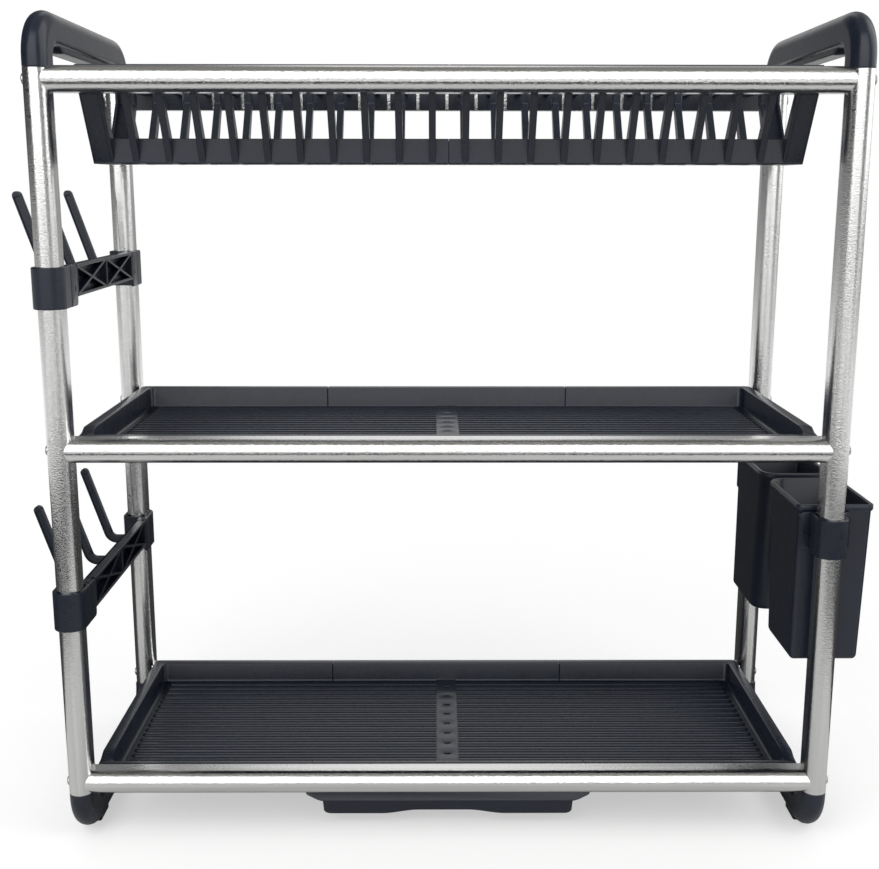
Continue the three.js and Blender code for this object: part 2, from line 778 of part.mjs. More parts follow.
// Drip drawer: a shallow pan whose rim rides on the runners, with a lipped front
function drawerGeometry() {
  const front = railInsideY + drawerFrontGap;
  const back = -railInsideY - drawerBackGap;
  const half = drawerWidth / 2;
  const pan = roundedRectangle(-half, half, front, back, drawerCorner, 3);
  const hollow = roundedRectangle(-half + drawerWall, half - drawerWall, front + drawerWall,
    back - drawerWall, drawerCorner - drawerWall, 3);
  const rim = roundedRectangle(-half - drawerRimReach, half + drawerRimReach, front,
    back + drawerRimReach / 2, drawerCorner, 3);
  const floorTop = drawerBottomLevel + drawerSkirt + drawerWall;
  const body = join([
    solid(prismZ(pan, drawerBottomLevel, drawerRimTop)),
    solid(prismZ(rim, drawerRimBottom, drawerRimTop)),
    solid(prismY(
      roundedRectangle(-half - drawerRimReach, half + drawerRimReach, drawerRimTop - drawerFasciaHeight,
        drawerRimTop, drawerFasciaCorner, 3),
      front,
      front + drawerFasciaThickness,
    )),
  ]);
  const archHalf = half * drawerArchShare;
  const archTop = drawerBottomLevel + drawerSkirt;
  const arch = points(
    [-archHalf, drawerBottomLevel],
    [-archHalf, drawerBottomLevel - cutOverrun],
    [archHalf, drawerBottomLevel - cutOverrun],
    [archHalf, drawerBottomLevel],
  );
  const archSteps = 8;
  for (let i = 1; i < archSteps; i += 1) {
    const share = i / archSteps;
    arch.push(new THREE.Vector2(
      archHalf - 2 * archHalf * share,
      drawerBottomLevel + (archTop - drawerBottomLevel) * Math.sin(Math.PI * share),
    ));
  }
  return geometryOf(cut(body, [
    solid(prismZ(hollow, floorTop, drawerRimTop + cutOverrun)),
    solid(prismZ(hollow, drawerBottomLevel - cutOverrun, drawerBottomLevel + drawerSkirt)),
    solid(prismY(arch, front - cutOverrun, front + drawerWall + cutOverrun)),
  ]));
}
addMesh('drip_drawer', drawerGeometry(), softPlasticFinish);

// Sleeve of a clip round a post, with its centre at x = 0 and y inward from the frame's face
function sleeve(z0, z1) {
  const outline = dSection(postWidth, postDepth, fitGap + clipWall);
  const bore = dSection(postWidth, postDepth, fitGap).reverse();
  return solid(prismZ(outline, z0, z1, [bore]));
}

// Board holders
const sleeveReach = postWidth / 2 + fitGap + clipWall;
const tabEnd = postDepth + tabLength;
const pegZ = (level) => level - clipHeight / 2 + clipHeight * pegHeightShare;
const pegY = postDepth + fitGap + clipWall + (tabEnd - postDepth - fitGap - clipWall) / 2;

function holderClipGeometry(level) {
  const z0 = level - clipHeight / 2;
  const z1 = level + clipHeight / 2;
  const tab = solid(box(sleeveReach - clipWall, sleeveReach, postDepth / 2, tabEnd, z0, z1));
  const bore = solid(prismZ(dSection(postWidth, postDepth, fitGap), z0 - cutOverrun, z1 + cutOverrun));
  const hole = solid(rod(pegDiameter + 2 * fitGap, 0, sleeveReach + cutOverrun, pegY, pegZ(level), pegSides));
  return geometryOf(cut(join([sleeve(z0, z1), tab]), [bore, hole]));
}

function holderBarGeometry(level) {
  const top = level + clipHeight / 2;
  const bottom = top - holderBarHeight;
  const barEnd = -(frontFace + tabEnd) - fitGap;
  const face = -postX + sleeveReach;
  const back = face - holderBarThickness;
  const tongueFace = face - clipWall - fitGap;
  const tongueEnd = -(frontFace + postDepth + fitGap + clipWall) - fitGap;
  const pieces = [
    solid(box(back, face, -barEnd, barEnd, top - holderPlate, top)),
    solid(box(back, face, -barEnd, barEnd, bottom, bottom + holderPlate)),
    solid(box(back, back + holderPlate, -barEnd, barEnd, bottom, top)),
  ];
  const bay = 2 * barEnd / holderBraceCount;
  const low = bottom + holderPlate / 2;
  const high = top - holderPlate / 2;
  for (let i = 0; i < holderBraceCount; i += 1) {
    const y0 = -barEnd + i * bay;
    const y1 = y0 + bay;
    for (const [za, zb] of [[low, high], [high, low]]) {
      const rise = Math.sign(zb - za);
      const run = Math.hypot(bay, high - low);
      const dz = braceThickness / 2 * (bay / run);
      const brace = points([y0, za - dz], [y1, zb - dz], [y1, zb + dz], [y0, za + dz]);
      const inside = solid(prismX(points(
        [-barEnd, bottom],
        [barEnd, bottom],
        [barEnd, top],
        [-barEnd, top],
      ), back, face));
      pieces.push(solid(prismX(brace, back + holderPlate / 2, face - Math.abs(rise) * fitGap)).intersect(inside));
    }
    if (i > 0) {
      pieces.push(solid(box(back, face, y0 - braceThickness / 2, y0 + braceThickness / 2, bottom, top)));
    }
  }
  for (const side of [-1, 1]) {
    const y0 = side < 0 ? -tongueEnd : barEnd - holderPlate;
    const y1 = side < 0 ? -barEnd + holderPlate : tongueEnd;
    pieces.push(solid(box(back, tongueFace, y0, y1, bottom, top)));
    const y = side * -(frontFace + pegY);
    pieces.push(solid(rod(pegDiameter, tongueFace - fitGap, face - pegRecess, y, pegZ(level), pegSides)));
    pieces.push(solid(box(back, face, side < 0 ? -barEnd : barEnd - holderPlate,
      side < 0 ? -barEnd + holderPlate : barEnd, bottom, top)));
  }
  const armZ = top - prongArmDrop;
  const tipX = -frameWidth / 2 - sideReach + prongRadius;
  const circle = [];
  for (let i = 0; i < prongSides; i += 1) {
    const angle = 2 * Math.PI * (i / prongSides);
    circle.push(new THREE.Vector2(prongRadius * Math.cos(angle), prongRadius * Math.sin(angle)));
  }
  const tipZ = armZ + prongHeight - prongRadius;
  const lean = Math.atan2(tipZ - armZ - prongBendRadius, prongLean);
  const prongSpread = barEnd * prongSpreadShare;
  for (const y of [-prongSpread, 0, prongSpread]) {
    const stations = [station(new THREE.Vector3(back + holderPlate / 2, y, armZ), new THREE.Vector3(-1, 0, 0))];
    const bendX = tipX + prongLean + prongBendRadius * Math.sin(lean);
    for (let i = 0; i <= prongBendSegments; i += 1) {
      const angle = lean * (i / prongBendSegments);
      stations.push(station(
        new THREE.Vector3(
          bendX - prongBendRadius * Math.sin(angle),
          y,
          armZ + prongBendRadius * (1 - Math.cos(angle)),
        ),
        new THREE.Vector3(-Math.cos(angle), 0, Math.sin(angle)),
      ));
    }
    const from = stations[stations.length - 1].point;
    const tip = new THREE.Vector3(tipX, y, tipZ);
    stations.push(station(tip, tip.clone().sub(from)));
    stations[stations.length - 2].tangent.copy(tip.clone().sub(from).normalize());
    pieces.push(solid(sweep(circle, stations)));
    pieces.push(solid(new THREE.SphereGeometry(prongRadius, prongSides, 4).translate(tip.x, tip.y, tip.z)));
  }
  return geometryOf(join(pieces));
}

['lower', 'upper'].forEach((name, i) => {
  const level = railLevels[i] + holderRises[i];
  const clip = holderClipGeometry(level);
  addMesh(`${name}_holder_bar`, holderBarGeometry(level), plasticFinish);
  addMesh(`${name}_holder_front_clip`, clip, plasticFinish, -postX, frontFace);
  addMesh(`${name}_holder_rear_clip`, mirroredY(clip), plasticFinish, -postX, -frontFace);
});

// Cutlery baskets behind their clips, tapered towards the bottom
const basketFront = postDepth + fitGap + clipPlateThickness + fitGap;
const basketDepth = (frameDepth - basketsApart) / 2 - basketFront;
const basketTopLevel = railLevels[1] - basketDrop;
const basketClipLevel = basketTopLevel - basketClipDrop;

function basketLoop(z, grow, share) {
  const x0 = -basketInnerReach + postWidth / 2 - grow;
  const x1 = postWidth / 2 + sideReach - basketRimOut - basketTaperSide * share + grow;
  const y0 = basketFront + (grow > 0 ? 0 : -grow);
  const y1 = basketFront + basketDepth - basketTaperBack * share + grow;
  return roundedRectangle(x0, x1, y0, y1, basketFrontCorner + grow, basketCornerSegments, basketBackCorner + grow)
    .map((p) => new THREE.Vector3(p.x, p.y, z));
}

function basketGeometry() {
  const bottom = basketTopLevel - basketHeight;
  const shareAt = (z) => (basketTopLevel - z) / basketHeight;
  const rimLow = basketTopLevel - basketRimHeight;
  const outer = solid(loft([
    basketLoop(bottom, 0, 1),
    basketLoop(basketTopLevel, 0, 0),
  ]));
  const rim = solid(loft([
    basketLoop(rimLow - basketRimOut, 0, shareAt(rimLow)),
    basketLoop(rimLow, basketRimOut, 0),
    basketLoop(basketTopLevel, basketRimOut, 0),
  ]));
  const inner = solid(loft([
    basketLoop(bottom + basketFloor, -basketWall, shareAt(bottom + basketFloor)),
    basketLoop(basketTopLevel + cutOverrun, -basketWall, shareAt(basketTopLevel + cutOverrun)),
  ]));
  const slots = [];
  const room = basketDepth - basketTaperBack - 2 * basketSlotMargin;
  for (let i = 0; i < basketSlotCount; i += 1) {
    const y = basketFront + basketSlotMargin + room * (i / (basketSlotCount - 1));
    slots.push(solid(box(-basketInnerReach + postWidth / 2 + basketSlotMargin,
      postWidth / 2 + sideReach - basketTaperSide - basketSlotMargin,
      y - basketSlotWidth / 2, y + basketSlotWidth / 2, bottom - cutOverrun, bottom + basketFloor + cutOverrun)));
  }
  const body = cut(join([outer, rim]), [inner, ...slots]);
  const pegs = [-1, 1].map((side) => solid(
    new THREE.CylinderGeometry(pegDiameter / 2, pegDiameter / 2, clipPlateThickness - pegRecess + 2 * fitGap, pegSides)
      .translate(
        side * (clipPlateWidth / 2 - pegInset),
        basketFront + fitGap - (clipPlateThickness - pegRecess + 2 * fitGap) / 2,
        basketClipLevel,
      ),
  ));
  return geometryOf(join([body, ...pegs]));
}

function basketClipGeometry() {
  const z0 = basketClipLevel - clipHeight / 2;
  const z1 = basketClipLevel + clipHeight / 2;
  const plateFront = postDepth + fitGap;
  const plate = solid(box(-clipPlateWidth / 2, clipPlateWidth / 2, plateFront, plateFront + clipPlateThickness, z0, z1));
  const bore = solid(prismZ(dSection(postWidth, postDepth, fitGap), z0 - cutOverrun, z1 + cutOverrun));
  const holes = [-1, 1].map((side) => solid(
    new THREE.CylinderGeometry(pegDiameter / 2 + fitGap, pegDiameter / 2 + fitGap, clipPlateThickness * 3, pegSides)
      .translate(side * (clipPlateWidth / 2 - pegInset), plateFront + clipPlateThickness / 2, basketClipLevel),
  ));
  return geometryOf(cut(join([sleeve(z0, z1), plate]), [bore, ...holes]));
}

const basket = basketGeometry();
const basketClip = basketClipGeometry();
addMesh('front_basket', basket, softPlasticFinish, postX, frontFace);
addMesh('front_basket_clip', basketClip, plasticFinish, postX, frontFace);
addMesh('rear_basket', mirroredY(basket), softPlasticFinish, postX, -frontFace);
addMesh('rear_basket_clip', mirroredY(basketClip), plasticFinish, postX, -frontFace);

export default group;
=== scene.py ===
import math

import bpy
import numpy as np
from mathutils import Matrix


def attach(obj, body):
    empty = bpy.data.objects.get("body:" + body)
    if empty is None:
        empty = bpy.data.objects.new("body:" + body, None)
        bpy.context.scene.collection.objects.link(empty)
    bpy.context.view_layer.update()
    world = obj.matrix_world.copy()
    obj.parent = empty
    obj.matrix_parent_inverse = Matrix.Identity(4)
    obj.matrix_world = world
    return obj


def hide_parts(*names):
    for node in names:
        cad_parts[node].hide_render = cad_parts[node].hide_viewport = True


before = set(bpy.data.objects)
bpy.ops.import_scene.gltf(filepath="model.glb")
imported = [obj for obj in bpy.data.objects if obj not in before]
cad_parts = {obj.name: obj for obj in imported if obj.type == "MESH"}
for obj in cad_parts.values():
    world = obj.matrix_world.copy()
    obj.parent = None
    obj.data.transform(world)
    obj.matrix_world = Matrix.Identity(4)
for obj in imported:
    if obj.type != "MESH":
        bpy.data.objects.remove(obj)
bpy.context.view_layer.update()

# Lengths are millimetres in the frame of the CAD model: X to the right, Y to the back, Z up.
MM = 0.001

# Extra points stand GUARD beside each arc, so that the flats next to it are evenly shaded. Edges
# that turn by more than SHARP_ANGLE degrees are sharp. Points closer than SAME are one.
GUARD = 0.2
SHARP_ANGLE = 38
SAME = 1e-6

# Side frames: D-shaped posts, and the bows that close them as handles and foot bars
POST_X = 315.0
FACE_Y = 132.5
POST_WIDTH = 20.0
POST_DEPTH = 26.0
POST_CORNER = 8.5
POST_ENDS = (44.3, 641.7)
TUBE_WALL = 1.0
BOW_CORNER = 4.5
BOW_RADIUS = 25.0
BOW_CENTRE_Y = 94.5
BOW_EDGE = 0.7
LEG_DEPTH = 13.0
HANDLE_LEG = 642.0
HANDLE_BEND = 649.0
FOOT_LEG = 44.0
FOOT_BEND = 40.0
SPIGOT_PLAY = 1.3
HANDLE_SPIGOTS = (610.0, 647.0)
FOOT_SPIGOTS = (40.0, 76.0)

# Thumb ledge under a handle, and the pads under a foot bar
LEDGE_HALF = 7.3
LEDGE_FLAT = 70.0
LEDGE_END = 93.0
LEDGE_LOW = 656.8
LEDGE_RISE = 6.5
LEDGE_TOP = 668.0
PAD_Y = 81.5
PAD_HALF_X = 7.0
PAD_HALF_Y = 13.0
PAD_HEIGHT = 6.0

# Rails
RAIL_LEVELS = {"bottom": 53.0, "mid": 343.5, "top": 634.0}
RAIL_HEIGHT = 20.0
RAIL_DEPTH = 22.0
RAIL_CORNER = 1.8
RAIL_FACE_Y = 131.0
RAIL_CENTRE_Y = 119.4
COPE_GAP = 0.05

# Screws: head on a seat, with a cross recess, and the shank's steps of (radius, distance)
SCREW_SEAT_X = 325.1
HEAD_RADII = (4.25, 4.2, 4.05, 3.75, 3.3)
HEAD_RIM = 0.9
HEAD_DOME = 1.5
DOME_RADIUS = 4.26
CROSS_DEPTH = 1.1
CROSS_WIDTH = 1.1
CROSS_LENGTH = 4.2
CROSS_SLOPE = 0.3
SHANK_STEPS = ((1.7, 14.0), (2, 13.7), (2, 0), (4.25, 0))

# Dish rack: reach and pitch along X, then the section in Y and Z
RACK_REACH = 288.0
RACK_RIBS = 10
RACK_PITCH = 26.619
RACK_RIB_WIDTH = 5.6
RACK_RIB_DEPTH = 10.0
RACK_PLATE = 17.0
RACK_PLATE_DEPTH = 3.2
RACK_MIDDLE = -46.9
RACK_FOOT_Y = -74.3
RACK_LEG_Y = -106.9
RACK_BOTTOM = 571.3
RACK_FLOOR = 578.3
RACK_BEND = 624.6
RACK_REST = 637.0
RACK_DECK = 644.0
RACK_BAR_TOP = 591.4
RACK_WEB_Y = 105.9
RACK_WEB_REACH = {1: 303.0, -1: RACK_REACH}
RACK_SLIT_PITCH = 27.66
RACK_SLIT = 3.0

# Trays: the rim round the floor, ridges, strip with drain slots, beams and runners underneath
TRAY_HALF_X = 303.5
TRAY_HALF_Y = 114.0
TRAY_RISE = 14.3
TRAY_HEIGHT = 28.0
TRAY_FLOOR_DROP = 20.0
TRAY_FLOOR = 2.2
TRAY_FRONT_DROP = 4.3
TRAY_FRONT_END = -108.0
TRAY_SEAM = 118.0
TRAY_SEAM_DEPTH = 0.9
TRAY_SEAM_MARKS = (-0.6, -0.35, 0.35, 0.6)
TRAY_RIDGES = 19
TRAY_PITCH = 10.601
TRAY_RIDGE_END = 286.5
TRAY_RIDGE_TAPER = 4
TRAY_STRIP_HALF = 10
TRAY_SLOT_HALF = 1.7
TRAY_SLOT_RADIUS = 1.2
TRAY_BEAMS = (-195.7, -97.8, 10.0, 97.8, 195.7)
TRAY_BEAM_REACH = 104.5
RUNNER_X = 124.5
RUNNER_LOW = 32.8

# Drip drawer
DRAWER_SHIFT_Y = -12.5
DRAWER_HALF = (112, 95)
DRAWER_TOP = 38.3
DRAWER_LOW = 13.0
DRAWER_FLOOR = 18.6
DRAWER_ARCH = 3.4
FLANGE_HALF = (124.5, 97.5)

# Clips, board holders and prongs
CLIP_HEIGHT = 33.0
CLIP_WALL = 3.3
CLIP_PLAY = 0.3
PEG_RADIUS = 1.7
PEG_HOLE_RADIUS = 2.0
PEG_DROP = 2.64
PEG_Y = 97.35
HOLDER_LEVELS = {"upper": 475.0, "lower": 209.0}
HOLDER_BACK = -310.7
HOLDER_FACE = -301.7
HOLDER_REACH = 91.2
HOLDER_HEIGHT = 26.0
HOLDER_WALL = 2.4
PRONG_YS = (-70.0, 0.0, 70.0)
PRONG_START_X = -309.5
PRONG_BEND_X = -331.2
PRONG_END_X = -357.0
PRONG_RISE = 67.2
PRONG_HALF = 3.8
PRONG_SOFTNESS = 0.9

# Cutlery baskets
BASKET_TOP = 293.0
BASKET_BOTTOM = 155.0
BASKET_CLIP_LEVEL = 271.0
BASKET_SIDE = (-21.5, 40.4)
BASKET_DEPTH = (29.6, 123.6)
BASKET_SIDE_TAPER = 4
BASKET_BACK_TAPER = 13
BASKET_EDGE = 4.5
BASKET_FLOOR = 2.4
BASKET_PEG_X = 16.0

# Studio, in metres and degrees
FLOOR_RADIUS = 1.6
FLOOR_LIGHT_Y = -0.33
CAMERA_PLACE = (-0.0101, -1.0828, 0.5553)
CAMERA_TURNS = ((-0.278, "Z"), (90 - 11.631, "X"), (0.052, "Z"))
CAMERA_LENS = 49.64
CAMERA_SHIFT = (-0.003, -0.0008)


# Outlines and surfaces

def unit(vectors):
    """Vectors divided by their own lengths."""
    return vectors / np.linalg.norm(vectors, axis=-1, keepdims=True)


def smooth(x, low, high):
    """Smooth step: t = (x - low) / (high - low) held to 0..1, then t * t * (3 - 2 * t)."""
    t = np.clip((np.asarray(x, float) - low) / (high - low), 0.0, 1.0)
    return t * t * (3 - 2 * t)


def arc(centre, radius, start, end, steps):
    """Points centre + radius * (cos t, sin t), with t from start to end in degrees."""
    t = np.radians(np.linspace(start, end, steps + 1))
    return np.stack([centre[0] + radius * np.cos(t), centre[1] + radius * np.sin(t)], axis=-1)


def quarter_round(edge, steps):
    """Insets edge * (1 - sin t) and distances edge * (1 - cos t) along a rounded edge, with t
    from 0 to 90 degrees."""
    t = np.radians(np.linspace(0, 90, steps + 1))
    return edge * (1 - np.sin(t)), edge * (1 - np.cos(t))


def corner_arcs(before, at, after, radii, steps):
    """Arc that replaces each corner. With unit directions a and b to the neighbours and half the
    corner's angle h, the arc starts r / tan h along a and ends as far along b, and its centre lies
    r / sin h along a + b. Its points turn evenly from the first radius to the last, and one guard
    point more lies just outside each end."""
    r = np.broadcast_to(np.asarray(radii, float), len(at))[:, None]
    a, b = unit(before - at), unit(after - at)
    half = 0.5 * np.arccos(np.clip(np.sum(a * b, axis=-1, keepdims=True), -1, 1))
    reach = r / np.tan(half)
    centre = at + unit(a + b) * r / np.sin(half)
    first, last = at + a * reach - centre, at + b * reach - centre
    turn = (np.pi - 2 * half)[:, None]
    s = np.linspace(0, 1, steps + 1)[None, :, None]
    spokes = np.sin((1 - s) * turn) * first[:, None] + np.sin(s * turn) * last[:, None]
    arcs = centre[:, None] + spokes / np.sin(turn)
    guards = arcs[:, :1] + a[:, None] * GUARD, arcs[:, -1:] + b[:, None] * GUARD
    return np.concatenate([guards[0], arcs, guards[1]], axis=1)


def rounded(corners, radii, steps=4):
    """Closed outline of a polygon whose corners are arcs; a radius of 0 keeps a corner."""
    p = np.asarray(corners, float)
    arcs = corner_arcs(np.roll(p, 1, axis=0), p, np.roll(p, -1, axis=0), radii, steps)
    out = arcs.reshape(-1, 2)
    return out[np.linalg.norm(out - np.roll(out, 1, axis=0), axis=1) > SAME]


def rectangle(a0, a1, b0, b1, radii=0.0, steps=4):
    """Rectangle with round corners, in the order (a0, b0), (a1, b0), (a1, b1), (a0, b1)."""
    return rounded([(a0, b0), (a1, b0), (a1, b1), (a0, b1)], radii, steps)


def bent_path(corners, radii, steps=8):
    """Open path along a polygon with its inner corners rounded."""
    p = np.asarray(corners, float)
    bends = corner_arcs(p[:-2], p[1:-1], p[2:], radii, steps).reshape(-1, 2)
    return np.concatenate([p[:1], bends, p[-1:]])


def path_directions(path):
    """Unit direction at each point: the sum of the unit directions of the steps at its sides."""
    step = unit(np.diff(path, axis=0))
    return unit(np.concatenate([step[:1], step]) + np.concatenate([step, step[-1:]]))


def d_section(width, depth, grow=0.0, corner=RAIL_CORNER):
    """Outline of the D tube, apex at depth 0: half a circle of radius width / 2, two straight
    sides and a flat back with round corners, all moved outwards by grow."""
    r, back, c = width / 2 + grow, depth + grow, max(corner + grow, 0.5)
    return np.concatenate([
        arc((0, width / 2), r, 180, 360, 32),
        [[r, width / 2 + 4 * GUARD], [r, back - c - GUARD]],
        arc((r - c, back - c), c, 0, 90, 5),
        [[r - c - GUARD, back], [-r + c + GUARD, back]],
        arc((-r + c, back - c), c, 90, 180, 5),
        [[-r, back - c - GUARD], [-r, width / 2 + 4 * GUARD]],
    ])


def inset(outline, distance):
    """Outline moved inwards: each point goes by distance * 2 n / (n . n), where n is the sum of
    the unit inward normals of the sides that meet there. The outline runs anticlockwise."""
    side = unit(np.roll(outline, -1, axis=0) - outline)
    normal = np.stack([-side[:, 1], side[:, 0]], axis=-1)
    both = normal + np.roll(normal, 1, axis=0)
    return outline + distance * 2 * both / np.sum(both * both, axis=-1, keepdims=True)


def anticlockwise(outline):
    """The outline, turned round where its area, half the sum of x * dy - y * dx, is negative."""
    ahead = np.roll(outline, -1, axis=0)
    area = np.sum(outline[:, 0] * ahead[:, 1] - outline[:, 1] * ahead[:, 0])
    return outline if area > 0 else outline[::-1]


def place(outline, along, axis):
    """Points of an outline put at a distance along an axis. Its two columns are Y and Z for an
    outline along x, X and Z along y, X and Y along z."""
    first, second, third = {"x": (1, 2, 0), "y": (0, 2, 1), "z": (0, 1, 2)}[axis]
    out = np.empty(outline.shape[:-1] + (3,))
    out[..., first], out[..., second], out[..., third] = outline[..., 0], outline[..., 1], along
    return out


def prism(outline, start, end, axis, edge=0.6, steps=3):
    """Prism over an outline with quarter-round edges."""
    outline = anticlockwise(np.asarray(outline, float))
    if edge == 0:
        return np.stack([place(outline, start, axis), place(outline, end, axis)])
    drawn_in, advance = quarter_round(edge, steps)
    insets = [edge + GUARD, *drawn_in, 0.0]
    depths = [0.0, *advance, edge + GUARD]
    near = [place(inset(outline, i), start + d, axis) for i, d in zip(insets, depths)]
    far = [place(inset(outline, i), end - d, axis) for i, d in zip(insets, depths)]
    return np.stack(near + far[::-1])


def block(x0, x1, y0, y1, z0, z1, edge=0.5):
    """Box whose upright corners and level edges are all rounded."""
    return prism(rectangle(x0, x1, y0, y1, 2 * edge, 3), z0, z1, "z", edge)


def tube(outer, inner, start, end, axis):
    """Closed skin of a tube: outer outline at both ends, then the inner one at both ends."""
    return np.stack([
        place(outer, start, axis), place(outer, end, axis),
        place(inner, end, axis), place(inner, start, axis),
    ])


def ring_prism(outline, centre, radius, start, end, axis, edge=0.5):
    """Prism with a round hole: each point of the outline has its partner on the circle round
    the centre in the same direction, and the edges at both faces are quarter rounds."""
    outline = anticlockwise(outline)
    spoke = unit(outline - np.asarray(centre))
    lip = min(edge, 0.3)
    hole = [np.asarray(centre) + spoke * (radius + grow) for grow in (lip, 0.0, 0.0, lip)]
    outer = prism(outline, start, end, axis, edge)[1:-1]
    inner = [place(h, a, axis) for h, a in zip(hole, (end, end - lip, start + lip, start))]
    return np.concatenate([outer, np.stack(inner)])


def swept(sections, path, across, plane):
    """Section carried along a plane path. Section column 0 goes along the axis across the plane,
    column 1 along the path's normal (tb, -ta), where (ta, tb) is the path's direction."""
    direction = path_directions(path)
    normal = np.stack([direction[:, 1], -direction[:, 0]], axis=-1)
    sections = np.broadcast_to(sections, (len(path),) + np.shape(sections)[-2:])
    points = path[:, None] + sections[..., 1:] * normal[:, None]
    out = np.empty(sections.shape[:-1] + (3,))
    out[..., plane[0]], out[..., plane[1]] = points[..., 0], points[..., 1]
    out[..., 3 - plane[0] - plane[1]] = sections[..., 0] + across
    return out


def linked(name, data):
    """New object of the scene that shows the data."""
    thing = bpy.data.objects.new(name, data)
    bpy.context.scene.collection.objects.link(thing)
    return thing


class Skin:
    """Closed surfaces of one piece, gathered in millimetres, mirrored and moved as asked."""

    def __init__(self, mirror=(1, 1, 1), shift=(0, 0, 0)):
        self.mirror, self.shift = np.array(mirror, float), np.array(shift, float)
        self.points, self.corners, self.sizes, self.total = [], [], [], 0

    def shell(self, rings, joined=False):
        """Point j of ring i is joined to points j + 1 and rings i + 1 by quads, and each ring is
        closed. The end rings get flat caps, or are joined to each other. All faces are turned
        over where the volume, a sixth of the sum of a . (b x c) over the triangles, is below 0."""
        rings = np.asarray(rings, float) * self.mirror + self.shift
        index = np.arange(rings.shape[0] * rings.shape[1]).reshape(rings.shape[:2])
        beside = np.roll(index, -1, axis=1)
        if joined:
            above, beside_above = np.roll(index, -1, axis=0), np.roll(beside, -1, axis=0)
            quads = np.stack([index, beside, beside_above, above], axis=-1)
            caps = []
        else:
            quads = np.stack([index[:-1], beside[:-1], beside[1:], index[1:]], axis=-1)
            caps = [index[0][::-1], index[-1]]
        quads, flat = quads.reshape(-1, 4), rings.reshape(-1, 3)
        fans = [np.stack([np.full(len(c) - 2, c[0]), c[1:-1], c[2:]], axis=-1) for c in caps]
        triangles = np.concatenate([quads[:, [0, 1, 2]], quads[:, [0, 2, 3]], *fans])
        a, b, c = flat[triangles[:, 0]], flat[triangles[:, 1]], flat[triangles[:, 2]]
        if np.sum(a * np.cross(b, c)) < 0:
            quads, caps = quads[:, ::-1], [cap[::-1] for cap in caps]
        self.points.append(flat)
        self.corners += [quads.ravel() + self.total] + [cap + self.total for cap in caps]
        self.sizes += [np.full(len(quads), 4)] + [[len(cap)] for cap in caps]
        self.total += len(flat)

    def finish(self, name, material, body, slot, nodes):
        """The piece as a smooth-shaded mesh object, riding on its body for its CAD nodes."""
        points = (np.concatenate(self.points) * MM).astype(np.float32)
        corners, sizes = np.concatenate(self.corners), np.concatenate(self.sizes)
        mesh = bpy.data.meshes.new(name)
        mesh.vertices.add(self.total)
        mesh.vertices.foreach_set("co", points.ravel())
        mesh.loops.add(len(corners))
        mesh.loops.foreach_set("vertex_index", corners.astype(np.int32))
        mesh.polygons.add(len(sizes))
        starts = np.concatenate([[0], np.cumsum(sizes)[:-1]])
        mesh.polygons.foreach_set("loop_start", starts.astype(np.int32))
        mesh.update(calc_edges=True)
        mesh.polygons.foreach_set("use_smooth", np.ones(len(sizes), bool))
        mesh.set_sharp_from_angle(angle=math.radians(SHARP_ANGLE))
        mesh.materials.append(material)
        piece = linked(name, mesh)
        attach(piece, body)
        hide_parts(*nodes)
        return piece


# Shaders

class Graph:
    """Node tree of a material or of the world."""

    def __init__(self, owner):
        owner.use_nodes = True
        self.tree = owner.node_tree
        self.tree.nodes.clear()

    def node(self, kind, settings=None, sockets=None, output=0):
        """New node: its settings first, colour stops among them, then values or links."""
        node = self.tree.nodes.new(kind)
        for key, value in (settings or {}).items():
            if key == "stops":
                ramp = node.color_ramp.elements
                for i, (at, colour) in enumerate(value):
                    stop = ramp[i] if i < 2 else ramp.new(at)
                    stop.position = at
                    stop.color = (*colour, 1)
            else:
                setattr(node, key, value)
        for key, value in (sockets or {}).items():
            if isinstance(value, Signal):
                self.tree.links.new(value.socket, node.inputs[key])
            else:
                node.inputs[key].default_value = value
        return Signal(self, node.outputs[output] if node.outputs else None)

    def mix(self, share, low, high):
        """Colour low where the share is 0 and high where it is 1."""
        sockets = {0: share, 6: low if isinstance(low, Signal) else (*low, 1)}
        sockets[7] = high if isinstance(high, Signal) else (*high, 1)
        return self.node("ShaderNodeMix", {"data_type": "RGBA"}, sockets, 2)

    def surface(self, shader):
        """Material output on a shader."""
        self.node("ShaderNodeOutputMaterial", None, {"Surface": shader})

    def rays(self):
        """1 for camera rays, and 1 for mirrored rays."""
        camera = self.node("ShaderNodeLightPath", None, None, "Is Camera Ray")
        return camera, Signal(self, camera.socket.node.outputs["Is Glossy Ray"])

    def bump(self, height, distance):
        """Normal over a height between 0 and about 1, of a distance in metres."""
        return self.node("ShaderNodeBump", None, {
            "Height": height, "Strength": 1.0, "Distance": distance,
        })

    def noise(self, place, scale, detail=2.0, roughness=0.5):
        """Noise between 0 and 1 at a place, about scale / 2 swells to the metre."""
        return self.node("ShaderNodeTexNoise", None, {
            "Vector": place, "Scale": scale, "Detail": detail, "Roughness": roughness,
        })


